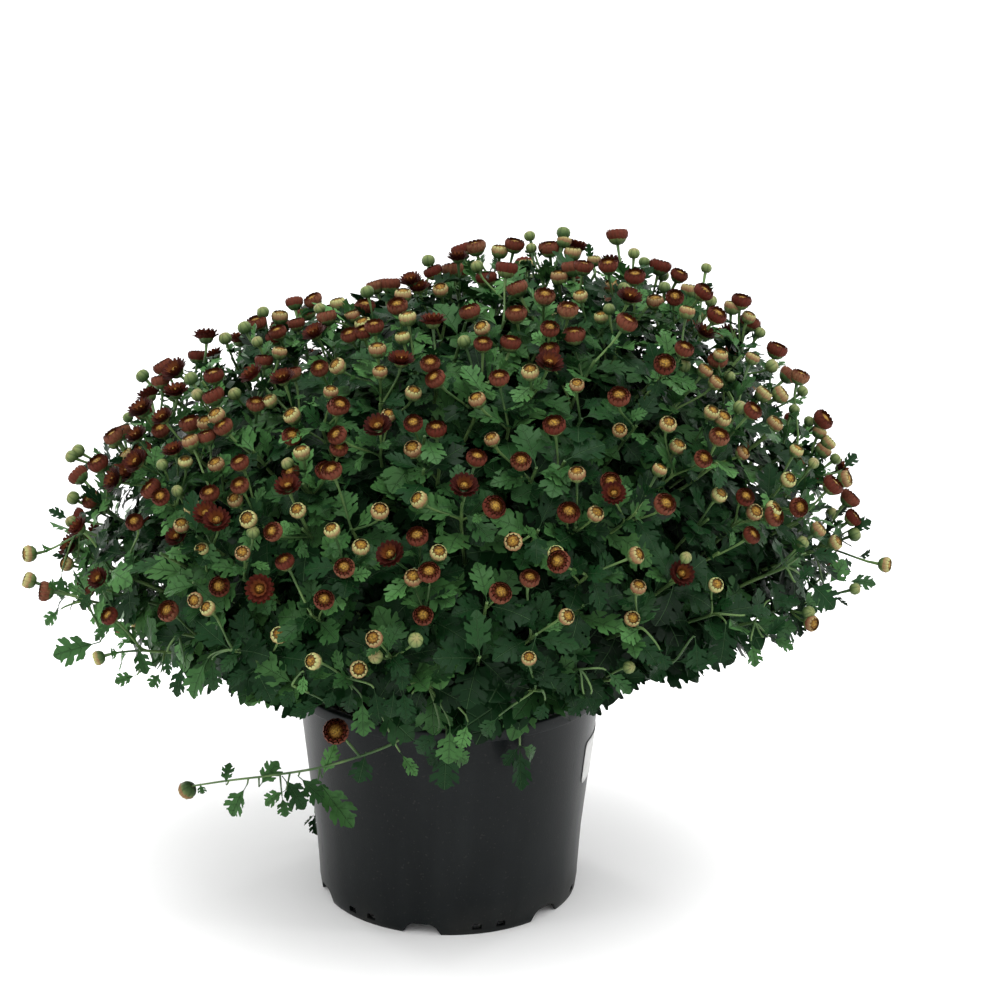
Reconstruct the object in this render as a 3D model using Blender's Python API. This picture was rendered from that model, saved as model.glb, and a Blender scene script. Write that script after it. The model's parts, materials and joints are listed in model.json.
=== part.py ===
"""A pot chrysanthemum: a dome of leafy shoots and flower sprays on forked branches, in a nursery pot.

Metres, +Z up. The origin lies on the pot's axis, on the ground. The front is -Y, and +X is the
viewer's right.
"""

import math
import random

import bmesh
import bpy
from mathutils import Vector

# Pot
POT_HEIGHT = 0.174
POT_TOP_RADIUS = 0.1195
POT_BASE_RADIUS = 0.0978
BELLY_HEIGHT = 0.050
BELLY_RADIUS = 0.1002
WALL_TOP_RADIUS = 0.1143
POT_WALL = 0.0016
POT_SEGMENTS = 44
LIP_DROP = 0.009
FOOT_HEIGHT = 0.0098
CORNER_HEIGHT = 0.016
NOTCH_COUNT = 6
NOTCH_FIRST = math.radians(-101)
NOTCH_WIDTH_BELOW = 0.034
NOTCH_WIDTH_ABOVE = 0.018
NOTCH_HEIGHT = 0.0088
SLOT_WIDTH = 0.008
SLOT_LOW = 0.0036
SLOT_HIGH = 0.0088
SLOT_SPREAD = math.radians(5.5)
DRAIN_COUNT = 5
DRAIN_RADIUS = 0.006
DRAIN_CIRCLE = 0.055

# Label on the pot's right side
LABEL_FROM = math.radians(-21)
LABEL_TO = math.radians(22)
LABEL_BOTTOM = 0.097
LABEL_TOP = 0.131
LABEL_THICKNESS = 0.0004
LABEL_STEPS = 9

# Potting mix and root crown
JOINT_GAP = 0.0003
MIX_TOP = 0.152
MIX_CROWN_RISE = 0.003
CROWN_HEIGHT = 0.157
CROWN_RADIUS = 0.012
SOCKET_RADIUS = 0.0125
SOCKET_FLOOR = 0.143

# Dome of the plant, measured from the root crown
DOME_HALF_WIDTH = 0.290
DOME_HALF_DEPTH = 0.246
DOME_TOP = 0.490
WIDEST_HEIGHT = 0.272
UNDERSIDE_DEPTH = 0.123
DOME_LEAN = 0.085
DOME_SLIMNESS = 0.06
DOME_OFFSET = 0.007
SIDE_REACH = 0.330
SIDE_SHOOT = 0.88
FOLIAGE_FLOOR = 0.182
HEM_RISE = 0.035
HEM_REACH = 0.25

# Shoots: how many in each ring, how high each ring aims, and how its first shoot is turned
SHOOT_RINGS = (
    (3, math.radians(74), 0.0),
    (6, math.radians(46), 0.0),
    (9, math.radians(20), 0.0),
)
BRANCH_COUNT = 6
BRANCH_RADIUS = 0.0034
FORK_RADIUS = 0.0026
FORK_SHARE = 0.15
BRANCH_SHARE = 0.30
SHOOT_RADIUS = 0.0020
SHOOT_TIP_RADIUS = 0.0014
SHOOT_START = 0.306
SHOOT_SHARE = 0.84
SPRAY_SHARE = 0.86
CELL_MARGIN = 0.008

# Leaves: stations along the midrib as (share of the length, share of the half width), and where
# along a shoot they grow, as shares of the way to the dome's skin
LEAF_COUNT = 9
LEAF_LENGTH = 0.060
LEAF_HALF_WIDTH = 0.023
LEAF_KEEL = 0.0016
LEAF_STATIONS = ((0.0, 0.07), (0.45, 0.8), (0.57, 0.42), (0.72, 1.0), (1.0, 0.0))
LOBED_STATIONS = (
    (0.0, 0.05),
    (0.26, 0.07),
    (0.40, 0.70),
    (0.49, 0.36),
    (0.64, 1.0),
    (0.74, 0.42),
    (0.86, 0.50),
    (1.0, 0.0),
)
LOWEST_LEAF = 0.50
HIGHEST_LEAF = 0.79
LEAF_ZONE = (0.40, 0.85)
LEAF_SIZES = (1.0, 0.92, 0.84, 0.76, 0.68, 0.6, 0.52)
LEAF_DROOP = 0.25
GOLDEN_ANGLE = math.radians(137.5)

# Flower heads: radius and depth of a bud, a half-open head and a bloom
HEAD_SIZES = ((0.0056, 0.0108), (0.0080, 0.0120), (0.0102, 0.0112))
HEADS_AROUND = 7
HEAD_SPREAD = math.radians(11.5)
HEAD_MARGIN = 0.022
STALK_RADIUS = 0.0010
LOWEST_HEAD = 0.212

# Trailing shoot over the rim at the front left
TRAIL_ROUTE = (
    (-0.0030, -0.0125, 0.1590),
    (-0.0100, -0.0600, 0.1760),
    (-0.0160, -0.1020, 0.1830),
    (-0.0230, -0.1290, 0.1810),
    (-0.0440, -0.1330, 0.1680),
    (-0.0841, -0.1210, 0.1480),
    (-0.1214, -0.1000, 0.1310),
    (-0.1600, -0.0820, 0.1175),
    (-0.1880, -0.0670, 0.1060),
)
TRAIL_RADIUS = 0.0015
TRAIL_TIP_RADIUS = 0.0009
TRAIL_BUD_RADIUS = 0.0062
BLOOM_PLACE = (-0.0789, -0.1390, 0.1826)
BLOOM_RADIUS = 0.0115
BLOOM_DEPTH = 0.0120

# Leaves on the trailing shoot: share of the route, direction the leaf points, length
TRAIL_LEAVES = (
    (0.50, (-0.15, -0.60, -0.75), 0.040),
    (0.60, (-0.35, -0.25, -0.90), 0.046),
    (0.66, (0.20, -0.85, -0.45), 0.040),
    (0.73, (-0.50, 0.20, 0.75), 0.034),
    (0.79, (-0.35, -0.70, -0.60), 0.032),
    (0.88, (-0.30, 0.30, 0.85), 0.022),
    (0.92, (-0.35, -0.30, -0.85), 0.022),
)

# Leaves that hang over the rim: turn round the pot, how far the stalk drops, length of the blade
HANGING_LEAVES = (
    (math.radians(-65), 0.014, 0.032),
    (math.radians(-90), 0.010, 0.036),
    (math.radians(150), 0.138, 0.024),
)
HANGING_HEIGHT = 0.1795
HANGING_CLEARANCE = 0.004

SEED = 7


def material(name, colour, roughness, metallic=0.0):
    """A finish of one colour."""
    made = bpy.data.materials.new(name)
    made.use_nodes = True
    shader = made.node_tree.nodes["Principled BSDF"]
    shader.inputs["Base Color"].default_value = (*colour, 1.0)
    shader.inputs["Roughness"].default_value = roughness
    shader.inputs["Metallic"].default_value = metallic
    return made


def clear_scene():
    """Removes what the file opened with."""
    for existing in list(bpy.data.objects):
        bpy.data.objects.remove(existing)


def placed(name, mesh, finish):
    """An object in the scene for this mesh."""
    made = bpy.data.objects.new(name, mesh)
    bpy.context.scene.collection.objects.link(made)
    if finish:
        mesh.materials.append(finish)
        mesh.shade_smooth()
        mesh.set_sharp_from_angle(angle=math.radians(40))
    return made


def helper(name, mesh):
    """An object that only shapes another, and isn't part of the model."""
    made = placed(name, mesh, None)
    made.hide_render = True
    made.display_type = "WIRE"
    return made


def loft(name, rings):
    """A closed mesh through rings of points in turn. A ring of one point is a tip."""
    bm = bmesh.new()
    loops = [[bm.verts.new(point) for point in ring] for ring in rings]
    for near, far in zip(loops, loops[1:]):
        for k in range(max(len(near), len(far))):
            corners = (
                near[k % len(near)],
                near[(k + 1) % len(near)],
                far[(k + 1) % len(far)],
                far[k % len(far)],
            )
            bm.faces.new(dict.fromkeys(corners))
    for end in (loops[0], loops[-1]):
        if len(end) > 2:
            bm.faces.new(end)
    bmesh.ops.recalc_face_normals(bm, faces=bm.faces)
    mesh = bpy.data.meshes.new(name)
    bm.to_mesh(mesh)
    bm.free()
    return mesh


def tube(name, points, radii, sides):
    """A closed tube along points, whose radius may change and may end in a tip of radius 0."""
    side = (points[1] - points[0]).orthogonal().normalized()
    rings = []
    for k, (centre, radius) in enumerate(zip(points, radii)):
        along = (points[min(k + 1, len(points) - 1)] - points[max(k - 1, 0)]).normalized()
        side = (side - along * side.dot(along)).normalized()
        other = along.cross(side)
        turns = [2 * math.pi * j / sides for j in range(sides)]
        ring = [centre + radius * (math.cos(a) * side + math.sin(a) * other) for a in turns]
        rings.append(ring if radius > 0 else [centre])
    return loft(name, rings)


def leaf_rings(base, along, upper, length, half_width, stations):
    """Three-sided rings along a drooping midrib: two edges of the blade and a keel below."""
    side = along.cross(upper).normalized()
    upper = side.cross(along).normalized()
    rings = []
    for share, width in stations:
        centre = base + along * (length * share) - upper * (LEAF_DROOP * length * share * share)
        if width == 0:
            rings.append([centre])
            continue
        reach = side * (half_width * width)
        rings.append([centre + reach, centre - reach, centre - upper * LEAF_KEEL])
    return rings


def modify(target, kind, **settings):
    """Adds a modifier and applies it."""
    modifier = target.modifiers.new(kind.lower(), kind)
    for key, value in settings.items():
        setattr(modifier, key, value)
    bpy.context.view_layer.objects.active = target
    bpy.ops.object.modifier_apply(modifier=modifier.name)


def united(name, meshes, finish):
    """One body from meshes that pass into each other."""
    body = placed(name, meshes[0], finish)
    group = bpy.data.collections.new(name + "_pieces")
    bpy.context.scene.collection.children.link(group)
    for k, mesh in enumerate(meshes[1:]):
        piece = helper(f"{name}_piece_{k}", mesh)
        bpy.context.scene.collection.objects.unlink(piece)
        group.objects.link(piece)
    modify(body, "BOOLEAN", operation="UNION", operand_type="COLLECTION", collection=group)
    for piece in list(group.objects):
        bpy.data.objects.remove(piece)
    bpy.data.collections.remove(group)
    return body


def turned(name, profile, finish, segments=POT_SEGMENTS):
    """A solid turned round the Z axis from (radius, height) points that run down its outer side."""
    mesh = bpy.data.meshes.new(name)
    edges = [(k, k + 1) for k in range(len(profile) - 1)]
    mesh.from_pydata([(radius, 0, height) for radius, height in profile], edges, [])
    body = placed(name, mesh, finish)
    modify(
        body,
        "SCREW",
        steps=segments,
        render_steps=segments,
        use_merge_vertices=True,
        merge_threshold=0.0001,
    )
    body.data.shade_smooth()
    body.data.set_sharp_from_angle(angle=math.radians(40))
    return body


def wall_radius(height):
    """The pot's outer radius under its lip, straighter below the belly than above it."""
    if height < BELLY_HEIGHT:
        share = (height - CORNER_HEIGHT) / (BELLY_HEIGHT - CORNER_HEIGHT)
        return POT_BASE_RADIUS + (BELLY_RADIUS - POT_BASE_RADIUS) * share
    share = (height - BELLY_HEIGHT) / (POT_HEIGHT - BELLY_HEIGHT)
    return BELLY_RADIUS + (WALL_TOP_RADIUS - BELLY_RADIUS) * share


def round_pot(turn, radius, height):
    """The point at this turn round the pot's axis."""
    return Vector((radius * math.cos(turn), radius * math.sin(turn), height))


def add_block(bm, turn, outline, inner, outer):
    """A prism that passes through the pot's wall at one turn, from (sideways, height) points."""
    out = Vector((math.cos(turn), math.sin(turn), 0))
    side = Vector((-out.y, out.x, 0))
    up = Vector((0, 0, 1))
    loops = [
        [bm.verts.new(out * reach + side * across + up * height) for across, height in outline]
        for reach in (inner, outer)
    ]
    bm.faces.new(loops[0])
    bm.faces.new(reversed(loops[1]))
    for k in range(len(outline)):
        following = (k + 1) % len(outline)
        bm.faces.new((loops[0][following], loops[0][k], loops[1][k], loops[1][following]))


def pot_cutters():
    """The foot's notches, the drain slots above them and the drain holes in the floor."""
    bm = bmesh.new()
    half_below, half_above = NOTCH_WIDTH_BELOW / 2, NOTCH_WIDTH_ABOVE / 2
    notch = (
        (-half_below, -NOTCH_HEIGHT),
        (half_below, -NOTCH_HEIGHT),
        (half_below, 0.0004),
        (half_above, NOTCH_HEIGHT),
        (-half_above, NOTCH_HEIGHT),
        (-half_below, 0.0004),
    )
    half = SLOT_WIDTH / 2
    slot = ((-half, SLOT_LOW), (half, SLOT_LOW), (half, SLOT_HIGH), (-half, SLOT_HIGH))
    step = 2 * math.pi / NOTCH_COUNT
    for k in range(NOTCH_COUNT):
        turn = NOTCH_FIRST + k * step
        add_block(bm, turn, notch, POT_BASE_RADIUS - 0.012, POT_BASE_RADIUS + 0.012)
        for spread in (-SLOT_SPREAD, SLOT_SPREAD):
            middle = turn + step / 2 + spread
            add_block(bm, middle, slot, POT_BASE_RADIUS - 0.006, POT_BASE_RADIUS + 0.006)
    for k in range(DRAIN_COUNT):
        centre = round_pot(2 * math.pi * k / DRAIN_COUNT, DRAIN_CIRCLE, FOOT_HEIGHT)
        hole = bmesh.ops.create_cone(
            bm, cap_ends=True, segments=8, radius1=DRAIN_RADIUS, radius2=DRAIN_RADIUS, depth=0.008
        )
        bmesh.ops.translate(bm, verts=hole["verts"], vec=centre)
    bmesh.ops.recalc_face_normals(bm, faces=bm.faces)
    mesh = bpy.data.meshes.new("pot_cutters")
    bm.to_mesh(mesh)
    bm.free()
    return helper("pot_cutters", mesh)


def make_pot(finish):
    """The moulded shell: turned-down lip, tapered wall, raised floor and foot ring."""
    lip_bottom = POT_HEIGHT - LIP_DROP
    lip_inside = POT_TOP_RADIUS - POT_WALL
    floor_top = FOOT_HEIGHT + POT_WALL
    inner_top = WALL_TOP_RADIUS - POT_WALL
    foot = POT_BASE_RADIUS - 0.0015
    profile = (
        (0.0, floor_top),
        (wall_radius(floor_top) - POT_WALL - 0.001, floor_top),
        (wall_radius(CORNER_HEIGHT) - POT_WALL, CORNER_HEIGHT),
        (BELLY_RADIUS - POT_WALL, BELLY_HEIGHT),
        (inner_top, POT_HEIGHT - 0.001),
        (inner_top + 0.0008, POT_HEIGHT),
        (POT_TOP_RADIUS - 0.0008, POT_HEIGHT),
        (POT_TOP_RADIUS, POT_HEIGHT - 0.001),
        (POT_TOP_RADIUS, lip_bottom),
        (lip_inside, lip_bottom),
        (lip_inside, POT_HEIGHT - POT_WALL),
        (wall_radius(POT_HEIGHT - POT_WALL), POT_HEIGHT - POT_WALL),
        (BELLY_RADIUS, BELLY_HEIGHT),
        (wall_radius(CORNER_HEIGHT), CORNER_HEIGHT),
        (POT_BASE_RADIUS - 0.0005, 0.004),
        (foot, 0.0),
        (foot - 2 * POT_WALL, 0.0),
        (foot - 2 * POT_WALL, FOOT_HEIGHT),
        (0.0, FOOT_HEIGHT),
    )
    pot = turned("pot", profile, finish)
    cutters = pot_cutters()
    modify(pot, "BOOLEAN", operation="DIFFERENCE", object=cutters)
    bpy.data.objects.remove(cutters)
    return pot


def make_label(finish):
    """A blank curved sticker on the pot's right side."""
    rings = []
    for k in range(LABEL_STEPS + 1):
        turn = LABEL_FROM + (LABEL_TO - LABEL_FROM) * k / LABEL_STEPS
        low = wall_radius(LABEL_BOTTOM) + JOINT_GAP
        high = wall_radius(LABEL_TOP) + JOINT_GAP
        rings.append(
            [
                round_pot(turn, low, LABEL_BOTTOM),
                round_pot(turn, low + LABEL_THICKNESS, LABEL_BOTTOM),
                round_pot(turn, high + LABEL_THICKNESS, LABEL_TOP),
                round_pot(turn, high, LABEL_TOP),
            ]
        )
    return placed("pot_label", loft("pot_label", rings), finish)


def make_mix(finish):
    """The potting mix, with a socket for the root crown."""
    gap = POT_WALL + JOINT_GAP
    bottom = FOOT_HEIGHT + POT_WALL + JOINT_GAP
    profile = (
        (0.0, SOCKET_FLOOR),
        (SOCKET_RADIUS, SOCKET_FLOOR),
        (SOCKET_RADIUS, MIX_TOP + MIX_CROWN_RISE),
        (0.045, MIX_TOP + 0.001),
        (wall_radius(MIX_TOP) - gap, MIX_TOP),
        (BELLY_RADIUS - gap, BELLY_HEIGHT),
        (wall_radius(CORNER_HEIGHT) - gap, CORNER_HEIGHT),
        (wall_radius(CORNER_HEIGHT) - gap - 0.002, bottom),
        (0.0, bottom),
    )
    return turned("potting_mix", profile, finish)


def make_crown(finish):
    """The woody stool at the level of the mix."""
    rows = 6
    turns = [math.pi * (0.5 - k / rows) for k in range(rows + 1)]
    profile = [
        (CROWN_RADIUS * max(math.cos(a), 0.0), CROWN_HEIGHT + CROWN_RADIUS * math.sin(a))
        for a in turns
    ]
    profile[0] = (0.0, CROWN_HEIGHT + CROWN_RADIUS)
    profile[-1] = (0.0, CROWN_HEIGHT - CROWN_RADIUS)
    return turned("root_crown", profile, finish, segments=12)


def aim(azimuth, elevation):
    """The unit direction from the root crown, in the dome's own unstretched space."""
    flat = math.cos(elevation)
    return Vector((flat * math.cos(azimuth), flat * math.sin(azimuth), math.sin(elevation)))


def skin(direction):
    """How far the dome's skin lies from the root crown along a direction, in unstretched space."""
    height = DOME_TOP - CROWN_HEIGHT
    middle = (WIDEST_HEIGHT - CROWN_HEIGHT) / height
    flat, up = math.hypot(direction.x, direction.y), direction.z
    for rise in ((DOME_TOP - WIDEST_HEIGHT) / height, UNDERSIDE_DEPTH / height):
        square = flat**2 + (up / rise) ** 2
        linear = up * middle / rise**2
        rest = (middle / rise) ** 2 - 1
        reach = (linear + math.sqrt(max(linear**2 - square * rest, 0.0))) / square
        if reach * up >= middle:
            break
    return reach


def shape_at(height):
    """How far to the right the dome lies at a height, and its width against an ellipsoid's."""
    below = min(max((height - CROWN_HEIGHT) / (WIDEST_HEIGHT - CROWN_HEIGHT), 0.0), 1.0)
    above = max(height - WIDEST_HEIGHT, 0.0) / (DOME_TOP - WIDEST_HEIGHT)
    return DOME_OFFSET * below + DOME_LEAN * above**3, 1 - DOME_SLIMNESS * above**2


def dome_point(direction, share=1.0):
    """The point this share of the way from the root crown to the dome's skin."""
    v = direction * (skin(direction) * share)
    height = CROWN_HEIGHT + v.z * (DOME_TOP - CROWN_HEIGHT)
    shift, width = shape_at(height)
    return Vector((v.x * width * DOME_HALF_WIDTH + shift, v.y * width * DOME_HALF_DEPTH, height))


def dome_place(point):
    """The direction and the share of the way to the skin of a point."""
    shift, width = shape_at(point.z)
    v = Vector(
        (
            (point.x - shift) / (width * DOME_HALF_WIDTH),
            point.y / (width * DOME_HALF_DEPTH),
            (point.z - CROWN_HEIGHT) / (DOME_TOP - CROWN_HEIGHT),
        )
    )
    direction = v.normalized()
    return direction, v.length / skin(direction)


def shoot_aims():
    """The direction of every shoot, ring by ring from the top."""
    return [
        aim(first + 2 * math.pi * k / count, elevation)
        for count, elevation, first in SHOOT_RINGS
        for k in range(count)
    ]


def branch_of(direction):
    """The branch that a shoot forks from: the nearest in turn round the plant."""
    turn = math.atan2(direction.y, direction.x)
    return int(math.floor(turn / (2 * math.pi / BRANCH_COUNT) + 0.501)) % BRANCH_COUNT


def in_cell(points, own, aims, margin=CELL_MARGIN):
    """Do all points lie nearer to one shoot's direction than to any other's?"""
    for point in points:
        direction, _ = dome_place(point)
        nearest = max(direction.dot(other) for other in aims if other is not own)
        if direction.dot(own) < nearest + margin:
            return False
    return True


def hem_height(point):
    """How low leaves hang, higher at the viewer's right."""
    return FOLIAGE_FLOOR + HEM_RISE * min(max(point.x / HEM_REACH, 0.0), 1.0)


def in_leaf_zone(points):
    """Do all points lie between the branches and the sprays, and above the pot?"""
    low, high = LEAF_ZONE
    return all(low < dome_place(p)[1] < high and p.z > hem_height(p) for p in points)


def stem_points(direction, start, end, count):
    """Points along a shoot's own line."""
    return [dome_point(direction, start + (end - start) * k / (count - 1)) for k in range(count)]


def make_branch(number, aims, finish):
    """A woody stem from the root crown that forks into the stems of its shoots."""
    own = [direction for direction in aims if branch_of(direction) == number]
    middle = sum(own, Vector()).normalized()
    centre = Vector((0, 0, CROWN_HEIGHT))
    fork = dome_point(middle, FORK_SHARE)
    start = centre + (fork - centre).normalized() * (CROWN_RADIUS + 2 * JOINT_GAP)
    beyond = fork + (fork - start).normalized() * FORK_RADIUS
    meshes = [tube("stem", [start, fork, beyond], [BRANCH_RADIUS, BRANCH_RADIUS, FORK_RADIUS], 8)]
    for direction in own:
        end = dome_point(direction, BRANCH_SHARE)
        meshes.append(tube("fork", [fork, end], [FORK_RADIUS, SHOOT_RADIUS], 6))
    return united(f"branch_{number + 1}", meshes, finish)


def fitted_leaf(base, along, upper, own, aims):
    """The largest leaf here that stays in its shoot's cell, or None."""
    for size in LEAF_SIZES:
        rings = leaf_rings(
            base, along, upper, LEAF_LENGTH * size, LEAF_HALF_WIDTH * size, LEAF_STATIONS
        )
        points = [point for ring in rings[1:] for point in ring]
        if in_cell(points, own, aims) and in_leaf_zone(points):
            return rings
    return None


def make_leafy_shoot(number, own, aims, finish, chance):
    """A green stem with leaves set round it."""
    stem = stem_points(own, SHOOT_START, SHOOT_SHARE, 5)
    radii = [SHOOT_RADIUS + (SHOOT_TIP_RADIUS - SHOOT_RADIUS) * k / 4 for k in range(5)]
    meshes = [tube("stem", stem, radii, 5)]
    turn = chance.uniform(0, 2 * math.pi)
    for k in range(LEAF_COUNT):
        share = LOWEST_LEAF + (HIGHEST_LEAF - LOWEST_LEAF) * k / (LEAF_COUNT - 1)
        base = dome_point(own, share)
        forward = (dome_point(own, share + 0.05) - base).normalized()
        outward = forward.orthogonal().normalized()
        across = forward.cross(outward)
        turn += GOLDEN_ANGLE
        away = outward * math.cos(turn) + across * math.sin(turn)
        lift = chance.uniform(0.35, 0.6)
        along = (away + forward * lift).normalized()
        rings = fitted_leaf(base, along, forward, own, aims)
        if rings:
            meshes.append(loft("leaf", rings))
    return united(f"leafy_shoot_{number:02d}", meshes, finish)


def head_directions(own):
    """One direction along the shoot and a ring of directions round it."""
    first = own.orthogonal().normalized()
    second = own.cross(first)
    spread = math.tan(HEAD_SPREAD)
    around = [
        own + spread * (math.cos(a) * first + math.sin(a) * second)
        for a in (2 * math.pi * k / HEADS_AROUND for k in range(HEADS_AROUND))
    ]
    return [own] + [direction.normalized() for direction in around]


def flower_head(base, place, facing, radius, depth):
    """A stalk that opens into a flower head."""
    neck = place - facing * depth
    widest = place - facing * (0.35 * depth)
    return tube(
        "head",
        [base, neck, widest, place],
        [STALK_RADIUS, STALK_RADIUS, radius, 0.0],
        5,
    )


def make_spray(number, own, aims, finish, chance):
    """The forked stalks at a shoot's end, each with its flower head."""
    base = dome_point(own, SPRAY_SHARE)
    forward = (dome_point(own, 1.0) - base).normalized()
    meshes = [
        tube(
            "knot",
            [base, base + forward * 0.005, base + forward * 0.010],
            [0.0012, 0.0020, 0.0],
            6,
        )
    ]
    for k, direction in enumerate(head_directions(own)):
        inside = base + forward * (0.0025 + 0.0006 * k)
        radius, depth = HEAD_SIZES[chance.randrange(len(HEAD_SIZES))]
        place = dome_point(direction, chance.uniform(0.985, 1.025))
        if k == 0 and abs(own.x) > SIDE_SHOOT:
            place.x = math.copysign(SIDE_REACH, own.x)
        if place.z < LOWEST_HEAD or not in_cell([place], own, aims, margin=HEAD_MARGIN):
            continue
        outward = (place - Vector((0, 0, WIDEST_HEIGHT))).normalized()
        facing = (outward + (place - base).normalized() + Vector((0, 0, 0.2))).normalized()
        meshes.append(flower_head(inside, place, facing, radius, depth))
    return united(f"flower_spray_{number:02d}", meshes, finish)


def smooth_route(points, steps):
    """Points along a smooth curve through the given ones."""
    knots = [Vector(p) for p in points]
    knots = [2 * knots[0] - knots[1], *knots, 2 * knots[-1] - knots[-2]]
    route = []
    for a, b, c, d in zip(knots, knots[1:], knots[2:], knots[3:]):
        for k in range(steps):
            t = k / steps
            route.append(
                0.5
                * (
                    2 * b
                    + (c - a) * t
                    + (2 * a - 5 * b + 4 * c - d) * t**2
                    + (3 * b - 3 * c + d - a) * t**3
                )
            )
    return [*route, knots[-2]]


def route_place(route, share):
    """The point at a share of a route, and the way that the route runs there."""
    at = share * (len(route) - 1)
    k = min(int(at), len(route) - 2)
    return route[k].lerp(route[k + 1], at - k), (route[k + 1] - route[k]).normalized()


def make_trailing_shoot(stem_finish, leaf_finish, bud_finish, petal_finish):
    """The long shoot over the rim: its stem, leaves, tip bud and bloom."""
    route = smooth_route(TRAIL_ROUTE, 2)
    last = len(route) - 1
    radii = [TRAIL_RADIUS + (TRAIL_TIP_RADIUS - TRAIL_RADIUS) * k / last for k in range(last + 1)]
    placed("trailing_stem", tube("trailing_stem", route, radii, 6), stem_finish)
    for k, (share, pointing, length) in enumerate(TRAIL_LEAVES):
        centre, running = route_place(route, share)
        along = Vector(pointing)
        away = (along - running * along.dot(running)).normalized()
        base = centre + away * (TRAIL_RADIUS + LEAF_KEEL + JOINT_GAP)
        upper = Vector((0, 0, 1)) if abs(along.normalized().z) < 0.8 else Vector((-0.4, -0.8, 0.4))
        rings = leaf_rings(base, along.normalized(), upper, length, 0.4 * length, LOBED_STATIONS)
        name = f"trailing_leaf_{k + 1}"
        placed(name, loft(name, rings), leaf_finish)
    tip, running = route_place(route, 1.0)
    start = tip + running * JOINT_GAP
    shares = ((0.0, 0.2), (0.25, 0.8), (0.6, 1.0), (0.85, 0.7), (1.0, 0.0))
    length = 2 * TRAIL_BUD_RADIUS
    bud = tube(
        "trailing_bud",
        [start + running * (length * share) for share, _ in shares],
        [TRAIL_BUD_RADIUS * width for _, width in shares],
        8,
    )
    placed("trailing_bud", bud, bud_finish)
    make_trailing_bloom(route, petal_finish)


def make_trailing_bloom(route, finish):
    """The open flower on its short stalk beside the trailing stem."""
    centre, _ = route_place(route, 0.56)
    place = Vector(BLOOM_PLACE)
    away = (place - centre).normalized()
    start = centre + away * (TRAIL_RADIUS + STALK_RADIUS + JOINT_GAP)
    facing = Vector((-0.25, -0.93, 0.27)).normalized()
    neck = place - facing * BLOOM_DEPTH
    bloom = tube(
        "trailing_bloom",
        [start, start.lerp(neck, 0.7), neck, place - facing * 0.005, place],
        [STALK_RADIUS, STALK_RADIUS, STALK_RADIUS, BLOOM_RADIUS, 0.6 * BLOOM_RADIUS],
        10,
    )
    placed("trailing_bloom", bloom, finish)


def make_hanging_leaves(finish):
    """Leaves on drooping stalks that pass over the rim and hang down beside the wall."""
    clear = POT_TOP_RADIUS + HANGING_CLEARANCE
    down = Vector((0, 0, -1))
    for k, (turn, drop, length) in enumerate(HANGING_LEAVES):
        route = [
            round_pot(turn, 0.6 * POT_TOP_RADIUS, HANGING_HEIGHT + 0.004),
            round_pot(turn, 0.95 * POT_TOP_RADIUS, HANGING_HEIGHT + 0.001),
            round_pot(turn, clear, HANGING_HEIGHT - 0.004),
            round_pot(turn, clear + 0.001, HANGING_HEIGHT - 0.004 - drop),
        ]
        stalk = tube("stalk", route, [1.2 * STALK_RADIUS] * len(route), 5)
        base = route[-1] - down * 0.004
        outward = round_pot(turn, 1.0, 0.0)
        rings = leaf_rings(base, down, outward, length, 0.38 * length, LOBED_STATIONS)
        united(f"hanging_leaf_{k + 1}", [stalk, loft("leaf", rings)], finish)


def main():
    """Builds the pot, what fills it, and the plant."""
    clear_scene()
    chance = random.Random(SEED)
    plastic = material("pot_plastic", (0.018, 0.021, 0.022), 0.42)
    paper = material("label_paper", (0.82, 0.82, 0.80), 0.60)
    mix = material("potting_mix", (0.045, 0.030, 0.020), 0.95)
    bark = material("bark", (0.16, 0.13, 0.06), 0.80)
    stem = material("stem", (0.13, 0.24, 0.07), 0.55)
    leaf = material("leaf", (0.035, 0.105, 0.035), 0.50)
    petal = material("petal", (0.16, 0.012, 0.012), 0.60)
    bud = material("bud", (0.42, 0.45, 0.16), 0.60)
    make_pot(plastic)
    make_label(paper)
    make_mix(mix)
    make_crown(bark)
    aims = shoot_aims()
    for number in range(BRANCH_COUNT):
        make_branch(number, aims, bark)
    for number, own in enumerate(aims, start=1):
        make_leafy_shoot(number, own, aims, leaf, chance)
        make_spray(number, own, aims, petal, chance)
    make_trailing_shoot(stem, leaf, bud, petal)
    make_hanging_leaves(leaf)


if __name__ == "__main__":
    main()
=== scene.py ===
"""The looks of a pot chrysanthemum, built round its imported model.

Metres, +Z up. The origin lies on the pot's axis, on the ground. The front is -Y, and +X is the
viewer's right.
"""

import sys

import json
import logging
import math
import random
from dataclasses import dataclass, field
from enum import Enum
from functools import cache
from typing import Any, Callable, Iterable, Sequence

import bmesh
import bpy
from mathutils import Matrix, Quaternion, Vector

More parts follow.
